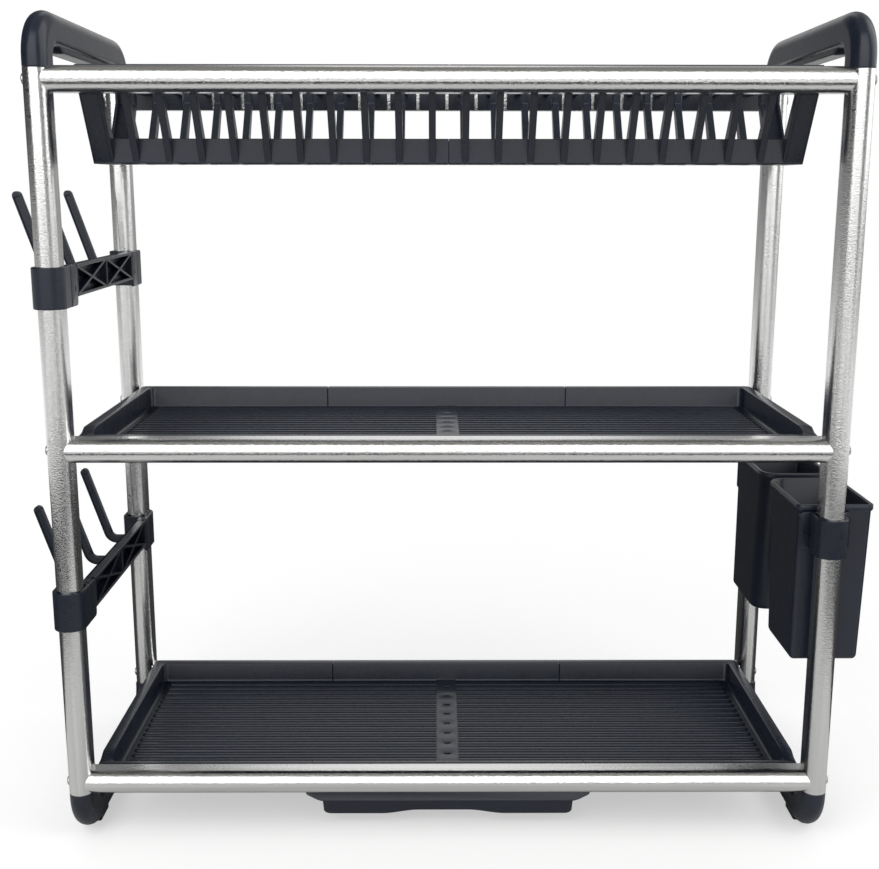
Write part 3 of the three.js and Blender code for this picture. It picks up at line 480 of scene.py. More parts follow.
class Signal:
    """Socket of a number, with arithmetic that adds Math nodes."""

    def __init__(self, graph, socket):
        self.graph, self.socket = graph, socket

    def maths(self, operation, *others):
        """Math node on the given sockets and numbers."""
        return self.graph.node("ShaderNodeMath", {"operation": operation}, dict(enumerate(others)))

    def __add__(self, other):
        return self.maths("ADD", self, other)

    def __radd__(self, other):
        return self.maths("ADD", other, self)

    def __sub__(self, other):
        return self.maths("SUBTRACT", self, other)

    def __rsub__(self, other):
        return self.maths("SUBTRACT", other, self)

    def __mul__(self, other):
        return self.maths("MULTIPLY", self, other)

    def __rmul__(self, other):
        return self.maths("MULTIPLY", other, self)

    def __truediv__(self, other):
        return self.maths("DIVIDE", self, other)

    def step(self, low, high):
        """0 below low, 1 above high, smooth between."""
        return self.graph.node("ShaderNodeMapRange", {"interpolation_type": "SMOOTHSTEP"}, {
            0: self, 1: low, 2: high, 3: 0.0, 4: 1.0,
        })


# Finishes

def object_place(graph, stretch=(1, 1, 1)):
    """Object coordinates, scaled apart along the three axes."""
    own = graph.node("ShaderNodeTexCoord", None, None, "Object")
    return graph.node("ShaderNodeMapping", None, {"Vector": own, "Scale": stretch})


def grained_steel(name, stretch):
    """Stainless tube with a fine raised grain: small cells about 2 mm across, finer pits among
    them, and long faint streaks along the tube."""
    material = bpy.data.materials.new(name)
    graph = Graph(material)
    own = object_place(graph)
    drawn = object_place(graph, stretch)
    cells = graph.noise(own, 800.0, 2.0, 0.6)
    pits = graph.noise(own, 2100.0, 2.0, 0.5)
    streaks = graph.noise(drawn, 240.0, 3.0, 0.55)
    height = cells.step(0.35, 0.68) + 0.3 * pits + 0.2 * streaks
    normal = graph.bump(height, 0.00005)
    colour = graph.mix(streaks.step(0.3, 0.7), (0.78, 0.78, 0.765), (0.88, 0.88, 0.87))
    shader = graph.node("ShaderNodeBsdfPrincipled", None, {
        "Base Color": colour, "Metallic": 1.0, "Roughness": 0.05 + 0.09 * cells, "Normal": normal,
    })
    graph.surface(shader)
    return material


def turned_steel():
    """Screw steel: plain, bright, with faint fine scratches and duller hollows."""
    material = bpy.data.materials.new("screw_steel_turned")
    graph = Graph(material)
    own = object_place(graph)
    fine = graph.noise(own, 2600.0, 3.0, 0.6)
    broad = graph.noise(own, 300.0, 2.0, 0.5)
    normal = graph.bump(fine, 0.00001)
    shader = graph.node("ShaderNodeBsdfPrincipled", None, {
        "Base Color": graph.mix(broad.step(0.3, 0.7), (0.5, 0.5, 0.5), (0.64, 0.64, 0.63)),
        "Metallic": 1.0, "Roughness": 0.18 + 0.16 * fine, "Normal": normal,
    })
    graph.surface(shader)
    return material


def moulded_plastic(name, dark, light, roughness):
    """Slate-blue plastic with a fine spark-eroded skin: fine grain in the surface, patches that
    are a little glossier, and a slow drift of the colour from the moulding."""
    material = bpy.data.materials.new(name)
    graph = Graph(material)
    own = object_place(graph)
    skin = graph.noise(own, 2200.0, 2.0, 0.6)
    patches = graph.noise(own, 90.0, 4.0, 0.6)
    drift = graph.noise(own, 9.0, 2.0, 0.5)
    normal = graph.bump(skin + 0.4 * patches, 0.000012)
    tone = (0.6 * drift + 0.4 * patches).step(0.3, 0.7)
    shader = graph.node("ShaderNodeBsdfPrincipled", None, {
        "Base Color": graph.mix(tone, dark, light), "Normal": normal,
        "Roughness": roughness + 0.14 * (patches - 0.5) + 0.08 * (skin - 0.5),
    })
    graph.surface(shader)
    return material


upright_steel = grained_steel("steel_tube_upright", (1, 1, 0.02))
level_steel = grained_steel("steel_tube_level", (0.02, 1, 1))
screw_steel = turned_steel()
slate = moulded_plastic(
    "slate_plastic_moulded", (0.0095, 0.0128, 0.0225), (0.0135, 0.0180, 0.0310), 0.29)
soft_slate = moulded_plastic(
    "slate_plastic_soft", (0.0135, 0.0170, 0.0285), (0.0185, 0.0230, 0.0380), 0.34)


# Side frames

def bow(skin, bend, leg_end, up):
    """Handle or foot bar: the D section carried up a leg, round a quarter turn, across and down.
    With a the turn from 0 to 180 degrees, the path is y = -+BOW_CENTRE_Y - BOW_RADIUS * cos a,
    z = bend + up * BOW_RADIUS * sin a, and the section's depth points along (cos a, -up * sin a).
    The legs' ends have quarter-round edges."""
    drawn_in, rise = quarter_round(BOW_EDGE, 3)
    drawn_in, rise = [*drawn_in, 0], np.array([*rise, BOW_EDGE + GUARD])
    leg = len(rise)
    turn = np.radians(np.concatenate([
        [0] * leg, np.linspace(0, 90, 13), np.linspace(90, 180, 13), [180] * leg,
    ]))
    rear = np.arange(len(turn)) >= len(turn) // 2
    y = np.where(rear, BOW_CENTRE_Y, -BOW_CENTRE_Y) - BOW_RADIUS * np.cos(turn)
    z = bend + up * BOW_RADIUS * np.sin(turn)
    z[:leg], z[-leg:] = leg_end + up * rise, (leg_end + up * rise)[::-1]
    insets = np.concatenate([drawn_in, np.zeros(len(turn) - 2 * leg), drawn_in[::-1]])
    section = np.stack([d_section(POST_WIDTH, POST_DEPTH, -i, BOW_CORNER) for i in insets])
    depth = section[..., 1] - LEG_DEPTH
    skin.shell(np.stack([
        section[..., 0],
        y[:, None] + depth * np.cos(turn)[:, None],
        z[:, None] - up * depth * np.sin(turn)[:, None],
    ], axis=-1))


def spigots(skin, low, high):
    """Pins of the moulding inside the ends of its two posts."""
    outline = d_section(POST_WIDTH, POST_DEPTH, -SPIGOT_PLAY, POST_CORNER)
    for side in (1, -1):
        pin = outline * (1, side) + (0, -side * FACE_Y)
        skin.shell(prism(pin, low, high, "z", 0.5))


def grip_ledge(skin):
    """Thumb ledge under the handle's bar: a rounded strip whose underside z = LEDGE_LOW +
    LEDGE_RISE * s rises at its ends, s being the smooth step of |y| from flat to end."""
    y = np.linspace(-LEDGE_END, 1 - LEDGE_FLAT, 13)
    y = np.concatenate([y, -y[::-1]])
    low = LEDGE_LOW + LEDGE_RISE * smooth(np.abs(y), LEDGE_FLAT, LEDGE_END)
    x = LEDGE_HALF - np.array([0, 0.5, 1.8])
    across = np.concatenate([-x, x[::-1], [LEDGE_HALF, -LEDGE_HALF]])
    lift = np.array([1.8, 0.5, 0, 0, 0.5, 1.8, 0, 0])
    on_top = np.arange(8) > 5
    z = np.where(on_top, LEDGE_TOP, low[:, None] + lift)
    skin.shell(np.stack(np.broadcast_arrays(across, y[:, None], z), axis=-1))


for side, x in (("left", -POST_X), ("right", POST_X)):
    handle = Skin(shift=(x, 0, 0))
    bow(handle, HANDLE_BEND, HANDLE_LEG, 1)
    grip_ledge(handle)
    spigots(handle, *HANDLE_SPIGOTS)
    handle.finish(f"carrying_handle_{side}", slate, "frame", "slate_plastic", [f"{side}_handle"])

    foot = Skin(shift=(x, 0, 0))
    bow(foot, FOOT_BEND, FOOT_LEG, -1)
    spigots(foot, *FOOT_SPIGOTS)
    for y in (-PAD_Y, PAD_Y):
        pad = (-PAD_HALF_X, PAD_HALF_X, y - PAD_HALF_Y, y + PAD_HALF_Y, 0, PAD_HEIGHT)
        foot.shell(block(*pad, 1.0))
    foot.finish(f"foot_bar_{side}", slate, "frame", "slate_plastic", [f"{side}_foot"])

post_outer = d_section(POST_WIDTH, POST_DEPTH, 0, POST_CORNER)
post_inner = d_section(POST_WIDTH, POST_DEPTH, -TUBE_WALL, POST_CORNER)
for end, sy in (("front", 1), ("rear", -1)):
    for side, x in (("left", -POST_X), ("right", POST_X)):
        post = Skin(mirror=(1, sy, 1), shift=(x, -sy * FACE_Y, 0))
        post.shell(tube(post_outer, post_inner, *POST_ENDS, "z"), joined=True)
        post.finish(f"tube_post_{end}_{side}", upright_steel, "frame", "steel_tube",
                    [f"{end}_{side}_post"])


# Rails

def coped(outline):
    """Half the rail's length at each point of its outline: its ends follow the post's skin. At a
    depth d in from the post's apex the post is half as wide as sqrt(r^2 - (r - d)^2) in its round
    front, and as r - c + sqrt(c^2 - (d - back)^2) past the centre of its corners."""
    depth = outline[:, 0] + FACE_Y - RAIL_FACE_Y
    radius, back = POST_WIDTH / 2, POST_DEPTH - POST_CORNER
    front = np.sqrt(np.clip(radius ** 2 - np.clip(radius - depth, 0, None) ** 2, 0, None))
    rear = POST_CORNER - np.sqrt(POST_CORNER ** 2 - np.clip(depth - back, 0, POST_CORNER) ** 2)
    return POST_X - front + rear - COPE_GAP


rail_outer = d_section(RAIL_HEIGHT, RAIL_DEPTH)[:, ::-1]
rail_inner = d_section(RAIL_HEIGHT, RAIL_DEPTH, -TUBE_WALL)[:, ::-1]
rail_ends = [(rail_outer, -1), (rail_outer, 1), (rail_inner, 1), (rail_inner, -1)]
rail_rings = np.stack([place(o, side * coped(o), "x") for o, side in rail_ends])
for row, level in RAIL_LEVELS.items():
    for end, sy in (("front", 1), ("rear", -1)):
        rail = Skin(mirror=(1, sy, 1), shift=(0, -sy * RAIL_FACE_Y, level))
        rail.shell(rail_rings, joined=True)
        rail.finish(f"tube_rail_{row}_{end}", level_steel, "frame", "steel_tube",
                    [f"{row}_{end}_rail"])


# Screws

def screw_rings():
    """Round-headed cross screw along x. The head's height over its seat at radius r is HEAD_RIM +
    HEAD_DOME * sqrt(1 - (r / DOME_RADIUS)^2), less CROSS_DEPTH within the cross, which is a bar
    and the same bar turned."""
    radius = np.concatenate([HEAD_RADII, np.linspace(2.8, 0.3, 12)])
    turn = np.radians(np.linspace(0, 360, 48, endpoint=False))
    y, z = radius[:, None] * np.cos(turn), radius[:, None] * np.sin(turn)
    bulge = np.sqrt(1 - np.minimum(radius / DOME_RADIUS, 1) ** 2)[:, None]

    def within(across, size):
        return np.clip((size / 2 - np.abs(across)) / CROSS_SLOPE + 0.5, 0, 1)

    def bar(a, b):
        return within(a, CROSS_WIDTH) * within(b, CROSS_LENGTH)

    recess = CROSS_DEPTH * np.maximum(bar(y, z), bar(z, y))
    head = np.stack([recess - (HEAD_RIM + HEAD_DOME * bulge), y, z], axis=-1)
    circle = np.stack([0 * turn, np.cos(turn), np.sin(turn)], axis=-1)
    shank = [circle * (1, r, r) + (x, 0, 0) for r, x in SHANK_STEPS]
    return np.concatenate([np.stack(shank), head])


screw = screw_rings()
for row, level in RAIL_LEVELS.items():
    for end, sy in (("front", -1), ("rear", 1)):
        for side, sx in (("left", 1), ("right", -1)):
            joint = f"{row}_{end}_{side}"
            piece = Skin(mirror=(sx, 1, 1), shift=(-sx * SCREW_SEAT_X, sy * RAIL_CENTRE_Y, level))
            piece.shell(screw)
            piece.finish(f"cross_screw_{joint}", screw_steel, "frame", "screw_steel",
                         [f"{joint}_screw"])
            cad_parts[f"{joint}_plug"].material_slots[0].material = slate


# Dish rack

def across_trough(y):
    """The same place on the other side of the rack's trough."""
    return 2 * RACK_MIDDLE - y


def rack_outline(depth):
    """Outline in Y and Z of one rib, as corners of (y, z, radius): from the front rail down,
    across the trough, up and back to the rear rail, and back along the inside, which lies the
    given depth in from the leaning sides."""
    inner_foot, inner_leg = RACK_FOOT_Y + depth, RACK_LEG_Y + depth - 0.4
    deck_end = RACK_WEB_Y + 0.8
    front = [
        (RACK_LEG_Y, RACK_REST, 1.3), (RACK_LEG_Y, RACK_BEND, 5), (RACK_FOOT_Y, RACK_BOTTOM, 1.4),
    ]
    rear = [
        (across_trough(RACK_FOOT_Y), RACK_BOTTOM, 1.4), (across_trough(RACK_LEG_Y), RACK_BEND, 5),
        (across_trough(RACK_LEG_Y), RACK_REST, 1.5), (deck_end, RACK_REST, 1.3),
        (deck_end, RACK_DECK, 1.3), (across_trough(inner_leg), RACK_DECK, 3),
    ]
    inside = [
        (across_trough(inner_leg), 624, 1.5), (across_trough(inner_foot), RACK_FLOOR, 5),
        (inner_foot, RACK_FLOOR, 5), (inner_leg, 624, 6), (inner_leg, RACK_REST, 2.2),
    ]
    corners = np.array(front + rear + inside)
    return rounded(corners[:, :2], corners[:, 2], 5)


def rack_half(side):
    """Half of the dish rack: ribs and slats, end plate, the webs and ledges at both rails, the
    ridge over the rear side, and a bar along the foot of each side."""
    skin = Skin(mirror=(side, 1, 1))
    rib = rack_outline(RACK_RIB_DEPTH)
    for k in range(RACK_RIBS):
        x = RACK_PITCH * (k + 0.5)
        skin.shell(prism(rib, x - RACK_RIB_WIDTH / 2, x + RACK_RIB_WIDTH / 2, "x", 0.5))
    start, inner_end = RACK_REACH - RACK_PLATE, RACK_REACH - 1
    skin.shell(prism(rib, start, start + 3.4, "x", 0.7))
    skin.shell(prism(rib, RACK_REACH - 2.2, RACK_REACH, "x", 0.5))
    skin.shell(prism(rack_outline(RACK_PLATE_DEPTH), start + 2, inner_end, "x", 0.0))
    for sy, reach in RACK_WEB_REACH.items():
        web = rectangle(RACK_WEB_Y, 108.7, 624, 645, 0.5) * (sy, 1)
        starts = np.arange(0.0, reach - RACK_SLIT, RACK_SLIT_PITCH)
        for low, high in zip(starts, [*starts[1:], reach + RACK_SLIT / 2]):
            skin.shell(prism(web, low + RACK_SLIT / 2, high - RACK_SLIT / 2, "x", 0.3))
        ledge = rectangle(RACK_WEB_Y, 114.7, 644.3, 645.5, 0.4) * (sy, 1)
        skin.shell(prism(ledge, 0.2, reach, "x", 0.2))
    front_bar = rectangle(-75.2, -72.4, RACK_BOTTOM + 0.2, RACK_BAR_TOP, 0.8)
    rear_bar = np.stack([across_trough(front_bar[:, 0]), front_bar[:, 1]], axis=-1)
    for bar in (front_bar, rear_bar):
        skin.shell(prism(bar, 0.1, inner_end, "x", 0.35))
    ridge = rectangle(3.6, 6.6, RACK_REST, RACK_DECK, 0.8)
    skin.shell(prism(ridge, 0.2, inner_end, "x", 0.3))
    keel = (0.2, inner_end, RACK_MIDDLE - 4, RACK_MIDDLE + 4, RACK_BOTTOM, RACK_BOTTOM + 5)
    skin.shell(block(*keel, 0.8))
    return skin


for side, sx in (("left", -1), ("right", 1)):
    parts = [f"dish_rack_{side}_{part}" for part in ("front", "rear", "deck", "floor")]
    rack_half(sx).finish(f"plate_rack_{side}", slate, "dish_rack", "slate_plastic", parts)


# Trays

def loop_with_marks(half_x, half_y, radius, marks, steps=6):
    """Rounded rectangle round the origin with extra points at the marks on its long sides, and
    8 and 16 from the front corners on its short sides."""
    x, y, r = half_x - radius, half_y - radius, radius
    marks = np.asarray(marks, float)
    rear = np.stack([marks[::-1], np.full(len(marks), half_y)], axis=-1)
    front = np.stack([marks, np.full(len(marks), -half_y)], axis=-1)
    right = np.array([(half_x, b) for b in (-y + GUARD, -y + 8.0, -y + 16.0, y - GUARD)])
    return np.concatenate([
        arc((x, -y), r, -90, 0, steps), right, arc((x, y), r, 0, 90, steps), rear,
        arc((-x, y), r, 90, 180, steps), right[::-1] * (-1, 1),
        arc((-x, -y), r, 180, 270, steps), front,
    ])


def tray_wall(skin, rim_top):
    """Rim and wall of a tray as one profile carried round it, of (inset, height, corner radius,
    inset and drop at a seam). The front of the rim lies lower, level with the rail's top, and
    ends behind the rail: beyond TRAY_FRONT_END only a tenth of the overlap is left."""
    floor, low, cut = rim_top - TRAY_FLOOR_DROP, rim_top - TRAY_HEIGHT, TRAY_SEAM_DEPTH
    profile = [
        (0, rim_top - 3.4, 5, 0, 0), (0, rim_top - 1, 5, 0, 0), (0.3, rim_top - 0.3, 5, 0, -cut),
        (1, rim_top, 5, 0, -cut), (9.0, rim_top, 5, 0, -cut), (9.7, rim_top - 0.3, 5, -0.6, -cut),
        (10, rim_top - 1, 5, -cut, -0.6), (10, floor + 2.5, 5, -cut, 0),
        (10.5, floor + 1, 5, 0, 0), (11.8, floor + 0.02, 4, 0, 0), (13.5, floor + 0.01, 3, 0, 0),
        (13.5, floor - 1, 3, 0, 0), (10.2, floor - 2.4, 5, 0, 0), (10, low + 0.5, 5, 0, 0),
        (9.6, low, 5, 0, 0), (8.1, low, 7, 0, 0), (7.6, low + 0.5, 7, 0, 0),
        (7.6, rim_top - 4.6, 7, 0, 0), (7.0, rim_top - 4, 6, 0, 0), (0.6, rim_top - 4, 5, 0, 0),
    ]
    marks = np.add.outer((-TRAY_SEAM, TRAY_SEAM), TRAY_SEAM_MARKS).ravel()
    plain = loop_with_marks(TRAY_HALF_X, TRAY_HALF_Y, 5, marks)
    on_side = np.abs(np.abs(plain[:, 1]) - TRAY_HALF_Y) < SAME
    sunk = on_side & (np.abs(np.abs(plain[:, 0]) - TRAY_SEAM) < 0.4)
    rings = []
    for d, z, radius, deeper, lower in profile:
        level = loop_with_marks(TRAY_HALF_X - d, TRAY_HALF_Y - d, radius, marks)
        seam = loop_with_marks(TRAY_HALF_X - d - deeper, TRAY_HALF_Y - d - deeper, radius, marks)
        ring = place(np.where(sunk[:, None], seam, level), z, "z")
        ring[:, 2] += np.where(sunk, lower, 0)
        in_front = smooth(-ring[:, 1], 92, 104) * smooth(z, rim_top - 12, rim_top - 4.6)
        ring[:, 2] -= TRAY_FRONT_DROP * in_front
        ring[:, 1] = np.maximum(ring[:, 1], TRAY_FRONT_END + 0.1 * (ring[:, 1] - TRAY_FRONT_END))
        rings.append(ring)
    skin.shell(np.stack(rings), joined=True)


def ridge_centre(i):
    """Place in Y of ridge i, counted from the front."""
    return (i - (TRAY_RIDGES - 1) / 2) * TRAY_PITCH


def tray_ridges(skin, floor):
    """Low rounded ridges along x on both sides of the middle strip. The section is a flattened
    hump 6.4 wide and 1.95 high, and at the outer end both shrink by sqrt(1 - (1 - s / taper)^2),
    s being the distance from the end."""
    s = np.array([0.05, 0.4, 1.1, 2.2, 4.0, 5.0, 276.7])
    shrink = np.sqrt(1 - np.clip(1 - s / TRAY_RIDGE_TAPER, 0, 1) ** 2)
    across = np.array([-3.2, -2.9, -2.3, -1.7, -1.2, 1.2, 1.7, 2.3, 2.9, 3.2, 3.2, -3.2])
    rise = np.array([0, 0.25, 1.1, 1.8, 1.95, 1.95, 1.8, 1.1, 0.25, 0, -0.6, -0.6])
    x = np.broadcast_to((TRAY_RIDGE_END - s)[:, None], (len(s), len(across)))
    y = across * (0.25 + 0.75 * shrink[:, None])
    z = floor + np.where(rise > 0, rise * shrink[:, None], rise)
    for i in range(TRAY_RIDGES):
        for side in (1, -1):
            skin.shell(np.stack([x * side, y + ridge_centre(i), z], axis=-1))


def tray_strip(skin, floor):
    """Middle strip as tiles, each two ridges long with an oval drain slot in it: the tile's edge
    and the slot share directions from the tile's centre."""
    turn = np.radians(np.linspace(0, 360, 48, endpoint=False))
    c, s = np.cos(turn), np.sin(turn)
    size = np.maximum(np.abs(c) / TRAY_STRIP_HALF, np.abs(s) / TRAY_PITCH)
    edge = np.stack([c, s], axis=-1) / size[:, None]
    tops, bottom = floor + 1.9, floor - TRAY_FLOOR

    def slot(grow):
        ends = TRAY_SLOT_HALF * np.sign(c) * smooth(np.abs(c), 0.05, 0.12)
        radius = TRAY_SLOT_RADIUS + grow
        return np.stack([ends + radius * c, radius * s], axis=-1)

    levels = [(edge, bottom), (edge, tops), (slot(0.5), tops), (slot(0.1), tops - 0.15),
              (slot(0), tops - 0.5), (slot(0), bottom)]
    for i in range(1, TRAY_RIDGES - 1, 2):
        tile = [place(o + (0, ridge_centre(i)), z, "z") for o, z in levels]
        skin.shell(np.stack(tile), joined=True)
    for side in (1, -1):
        ends = sorted((side * ridge_centre(TRAY_RIDGES - 1), side * TRAY_BEAM_REACH))
        skin.shell(block(-TRAY_STRIP_HALF, TRAY_STRIP_HALF, *ends, bottom, tops, 0.0))


def tray(row, runners):
    """Ridged tray that lies on the two rails of its row."""
    skin = Skin()
    rim_top = RAIL_LEVELS[row] + TRAY_RISE
    floor = rim_top - TRAY_FLOOR_DROP
    tray_wall(skin, rim_top)
    for side in (1, -1):
        ends = sorted((side * (TRAY_STRIP_HALF - 0.1), side * 294.5))
        skin.shell(block(*ends, -105, 105, floor - TRAY_FLOOR, floor, 0.0))
    tray_ridges(skin, floor)
    tray_strip(skin, floor)
    for x in TRAY_BEAMS:
        beam = (x - 1, x + 1, -TRAY_BEAM_REACH, TRAY_BEAM_REACH, floor - 7.2, floor - 1.5)
        skin.shell(block(*beam, 0.3))
    if runners:
        hook = np.array([(1.0, floor - 1), (3.6, floor - 1), (3.6, RUNNER_LOW),
                         (-8.0, RUNNER_LOW), (-8.0, 35.4), (1.0, 35.4)]) + (RUNNER_X, 0)
        for side in (1, -1):
            skin.shell(prism(rounded(hook * (side, 1), 0.6, 3), -104, 104, "y", 0.4))
    return skin


tray("mid", False).finish("ridged_tray_mid", slate, "shelf_tray", "slate_plastic", ["mid_tray"])
tray("bottom", True).finish("ridged_tray_bottom", slate, "frame", "slate_plastic", ["bottom_tray"])


# Drip drawer

def drawer():
    """Shallow pan with a draft on its sides, as a profile of (inset, height, corner radius, share
    of the arch), a flange that slides on the runners, and a sloping thumb lip. The skirt's lower
    edge in front is raised by DRAWER_ARCH between |x| = 22 and 54."""
    skin = Skin(shift=(0, DRAWER_SHIFT_Y, 0))
    top, low, floor = DRAWER_TOP, DRAWER_LOW, DRAWER_FLOOR
    half_x, half_y = DRAWER_HALF
    marks = np.linspace(-100, 100, 81)
    profile = [
        (0.0, top - 1.0, 9, 0), (0.3, top - 0.3, 9, 0), (1.0, top, 9, 0), (1.6, top - 0.1, 8, 0),
        (2.0, top - 0.8, 8, 0), (3.6, floor + 2.0, 6, 0), (4.4, floor + 0.5, 5, 0),
        (6.5, floor, 4, 0), (6.5, floor - 1.8, 4, 0), (4.6, floor - 2.0, 5, 0.5),
        (4.0, low + 0.4, 6, 1), (3.7, low, 6, 1), (2.6, low, 7, 1), (2.3, low + 0.5, 7, 1),
    ]
    rings = []
    for d, z, radius, lift in profile:
        ring = place(loop_with_marks(half_x - d, half_y - d, radius, marks), z, "z")
        arch = (1 - smooth(np.abs(ring[:, 0] + 4), 22, 54)) * (ring[:, 1] < -85)
        ring[:, 2] += lift * DRAWER_ARCH * arch
        rings.append(ring)
    skin.shell(np.stack(rings), joined=True)
    skin.shell(block(-107, 107, -90, 90, floor - 1.8, floor, 0.0))
    flange = loop_with_marks(*FLANGE_HALF, 9, marks) + (0, 3.7)
    pan = loop_with_marks(half_x - 1, half_y - 1, 8, marks)
    edges = ((0.5, top - 2.6), (0, top - 2.2), (0, top - 0.4), (0.4, top))
    rings = [place(inset(flange, i), z, "z") for i, z in edges]
    rings += [place(pan, top, "z"), place(pan, top - 2.6, "z")]
    skin.shell(np.stack(rings), joined=True)
    right = [(111.5, 27.3), (FLANGE_HALF[0], 33.2), (FLANGE_HALF[0], top)]
    left = [(-x, z) for x, z in right[::-1]]
    lip = rounded(left + right, [1.2, 3.5, 22, 22, 3.5, 1.2], 8)
    rings = prism(lip, -95.0, -91.8, "y", 1.0, 4)
    rings[..., 1] -= 0.3 * (top - rings[..., 2]) * smooth(top - rings[..., 2], 0, 6)
    skin.shell(rings)
    return skin


drawer().finish("drip_pan_drawer", soft_slate, "drawer", "slate_plastic_soft", ["drip_drawer"])


# Clips and holders

def sleeve(skin, level):
    """Sleeve round a post at x = 0, y inward from the frame's face, with round edges. Gives its
    lowest and highest level."""
    low, high = level - CLIP_HEIGHT / 2, level + CLIP_HEIGHT / 2
    wall = d_section(POST_WIDTH, POST_DEPTH, CLIP_WALL, BOW_CORNER)
    outer = prism(wall, low, high, "z", 0.8)[1:-1]
    bore = d_section(POST_WIDTH, POST_DEPTH, CLIP_PLAY, BOW_CORNER)
    lip = inset(bore, -0.4)
    inner = [place(lip, high, "z"), place(bore, high - 0.4, "z"),
             place(bore, low + 0.4, "z"), place(lip, low, "z")]
    skin.shell(np.concatenate([outer, np.stack(inner)]), joined=True)
    return low, high


def holder_clip(skin, level):
    """Clip of a board holder, at a front left post that stands at x = 0."""
    low, high = sleeve(skin, level)
    tab = rectangle(24, 41, low, high, [1, 3.5, 3.5, 1], 5)
    hole = (FACE_Y - PEG_Y, level - PEG_DROP)
    skin.shell(ring_prism(tab, hole, PEG_HOLE_RADIUS, 10.3, 13.3, "x", 0.7), joined=True)
    return skin


def peg(centre, start, end, axis):
    """Short round pin along an axis."""
    outline = arc(centre, PEG_RADIUS, 0, 352.5, 47)
    return prism(outline, start, end, axis, 0.3)


def holder_prong(skin, y, arm):
    """Prong: a flat bar 6 thick with a groove along both flat sides. It leaves the bar level,
    bends up and leans out; its end is a half circle, where the width is multiplied by
    sqrt(1 - (1 - s / PRONG_HALF)^2), s being the distance from the tip, and the groove fades out.
    Each corner of the section is three points of a quarter circle."""
    tip = np.array([PRONG_END_X + PRONG_HALF, arm + PRONG_RISE])
    lead = unit(tip - np.array([PRONG_BEND_X, arm]))
    path = bent_path([(PRONG_START_X, arm), (PRONG_BEND_X, arm), tip - lead * 1.0], [9], 10)
    s = quarter_round(PRONG_HALF, 6)[1][:0:-1]
    s = np.array([s[0] + 0.4, *s, 0.05])
    stations = np.concatenate([path, tip + lead * PRONG_HALF - lead * s[:, None]])
    before_tip = np.concatenate([np.full(len(path), 9.0), s])
    wide = np.sqrt(1 - np.clip(1 - before_tip / PRONG_HALF, 0, 1) ** 2)
    groove = smooth(before_tip, PRONG_HALF, 8.0)
    flat = np.array([(-3, v) for v in (-PRONG_HALF, -2.5, -2.1, 2.1, 2.5, PRONG_HALF)])
    plain = np.concatenate([flat, -flat])
    sunk = plain * np.where(np.abs(plain[:, 1:]) < 2.3, (0.6, 1), (1, 1))
    sections = plain + groove[:, None, None] * (sunk - plain)
    sections[..., 1] *= wide[:, None]
    corner = np.abs(plain[:, 1]) > 3.7
    copies = np.where(corner, 3, 1)
    marks = np.repeat(np.arange(len(plain)), copies)
    turn = np.radians(45 * np.concatenate([np.arange(n) for n in copies]))
    first = marks % len(flat) == 0
    along = np.where(first, np.cos(turn), np.sin(turn))
    other = np.where(first, np.sin(turn), np.cos(turn))
    round_by = np.sign(plain[marks]) * PRONG_SOFTNESS * corner[marks, None]
    soft = sections[:, marks]
    soft[..., 0] -= round_by[:, 0] * (1 - other)
    soft[..., 1] -= round_by[:, 1] * (1 - along) * wide[:, None]
    skin.shell(swept(soft, stations, y, (0, 2)))


def holder_bar(level):
    """Bar of a board holder: a shallow tray on edge with crossed ribs in two bays, tongues with
    pegs in the clips' tabs, and three prongs."""
    skin = Skin()
    top = level + CLIP_HEIGHT / 2
    low = top - HOLDER_HEIGHT
    back, face, reach, wall = HOLDER_BACK, HOLDER_FACE, HOLDER_REACH, HOLDER_WALL
    skin.shell(block(back, back + wall, -reach, reach, low, top, 0.4))
    skin.shell(block(back, face, -reach, reach, top - wall, top, 0.5))
    skin.shell(block(back, face, -reach, reach, low, low + wall, 0.5))
    for y in (-reach + 1.3, 0.0, reach - 1.3):
        skin.shell(block(back, face, y - 1.3, y + 1.3, low, top, 0.4))
    for y0 in (-reach, 0.0):
        for z0, z1, depth in ((low + 1.2, top - 1.2, 0.3), (top - 1.2, low + 1.2, 0.6)):
            run = unit(np.array([reach, z1 - z0]))
            side = np.array([-run[1], run[0]]) * 1.1
            a, b = np.array([y0 + 1, z0]), np.array([y0 + reach - 1, z1])
            brace = np.array([a - side, b - side, b + side, a + side])
            skin.shell(prism(brace, back + 1, face - depth, "x", 0.3))
    for side in (1, -1):
        ends = sorted((side * (reach - 2), side * 102.9))
        skin.shell(block(back, -305.0, *ends, low, top, 0.5))
        skin.shell(peg((side * PEG_Y, level - PEG_DROP), -306, -302.9, "x"))
    for y in PRONG_YS:
        holder_prong(skin, y, top - HOLDER_HEIGHT / 2)
    return skin


for name, level in HOLDER_LEVELS.items():
    body = f"{name}_holder"
    for end, sy in (("front", 1), ("rear", -1)):
        clip = holder_clip(Skin((1, sy, 1), (-POST_X, -sy * FACE_Y, 0)), level)
        clip.finish(f"holder_clip_{name}_{end}", slate, body, "slate_plastic",
                    [f"{body}_{end}_clip"])
    holder_bar(level).finish(f"prong_bar_{name}", slate, body, "slate_plastic", [f"{body}_bar"])


# Cutlery baskets

def basket_loop(drop_share, d):
    """Outline of the basket, inset by d, at a share of the way down: it narrows by the tapers on
    its outer side and at its back. Front corners are 4 in radius, back ones 14."""
    x0, x1 = BASKET_SIDE[0] + d, BASKET_SIDE[1] - BASKET_SIDE_TAPER * drop_share - d
    y0, y1 = BASKET_DEPTH[0] + d, BASKET_DEPTH[1] - BASKET_BACK_TAPER * drop_share - d
    near, far = max(4 - d, 1.2), max(14 - d, 1.2)
    return rectangle(x0, x1, y0, y1, [near, near, far, far], 6)


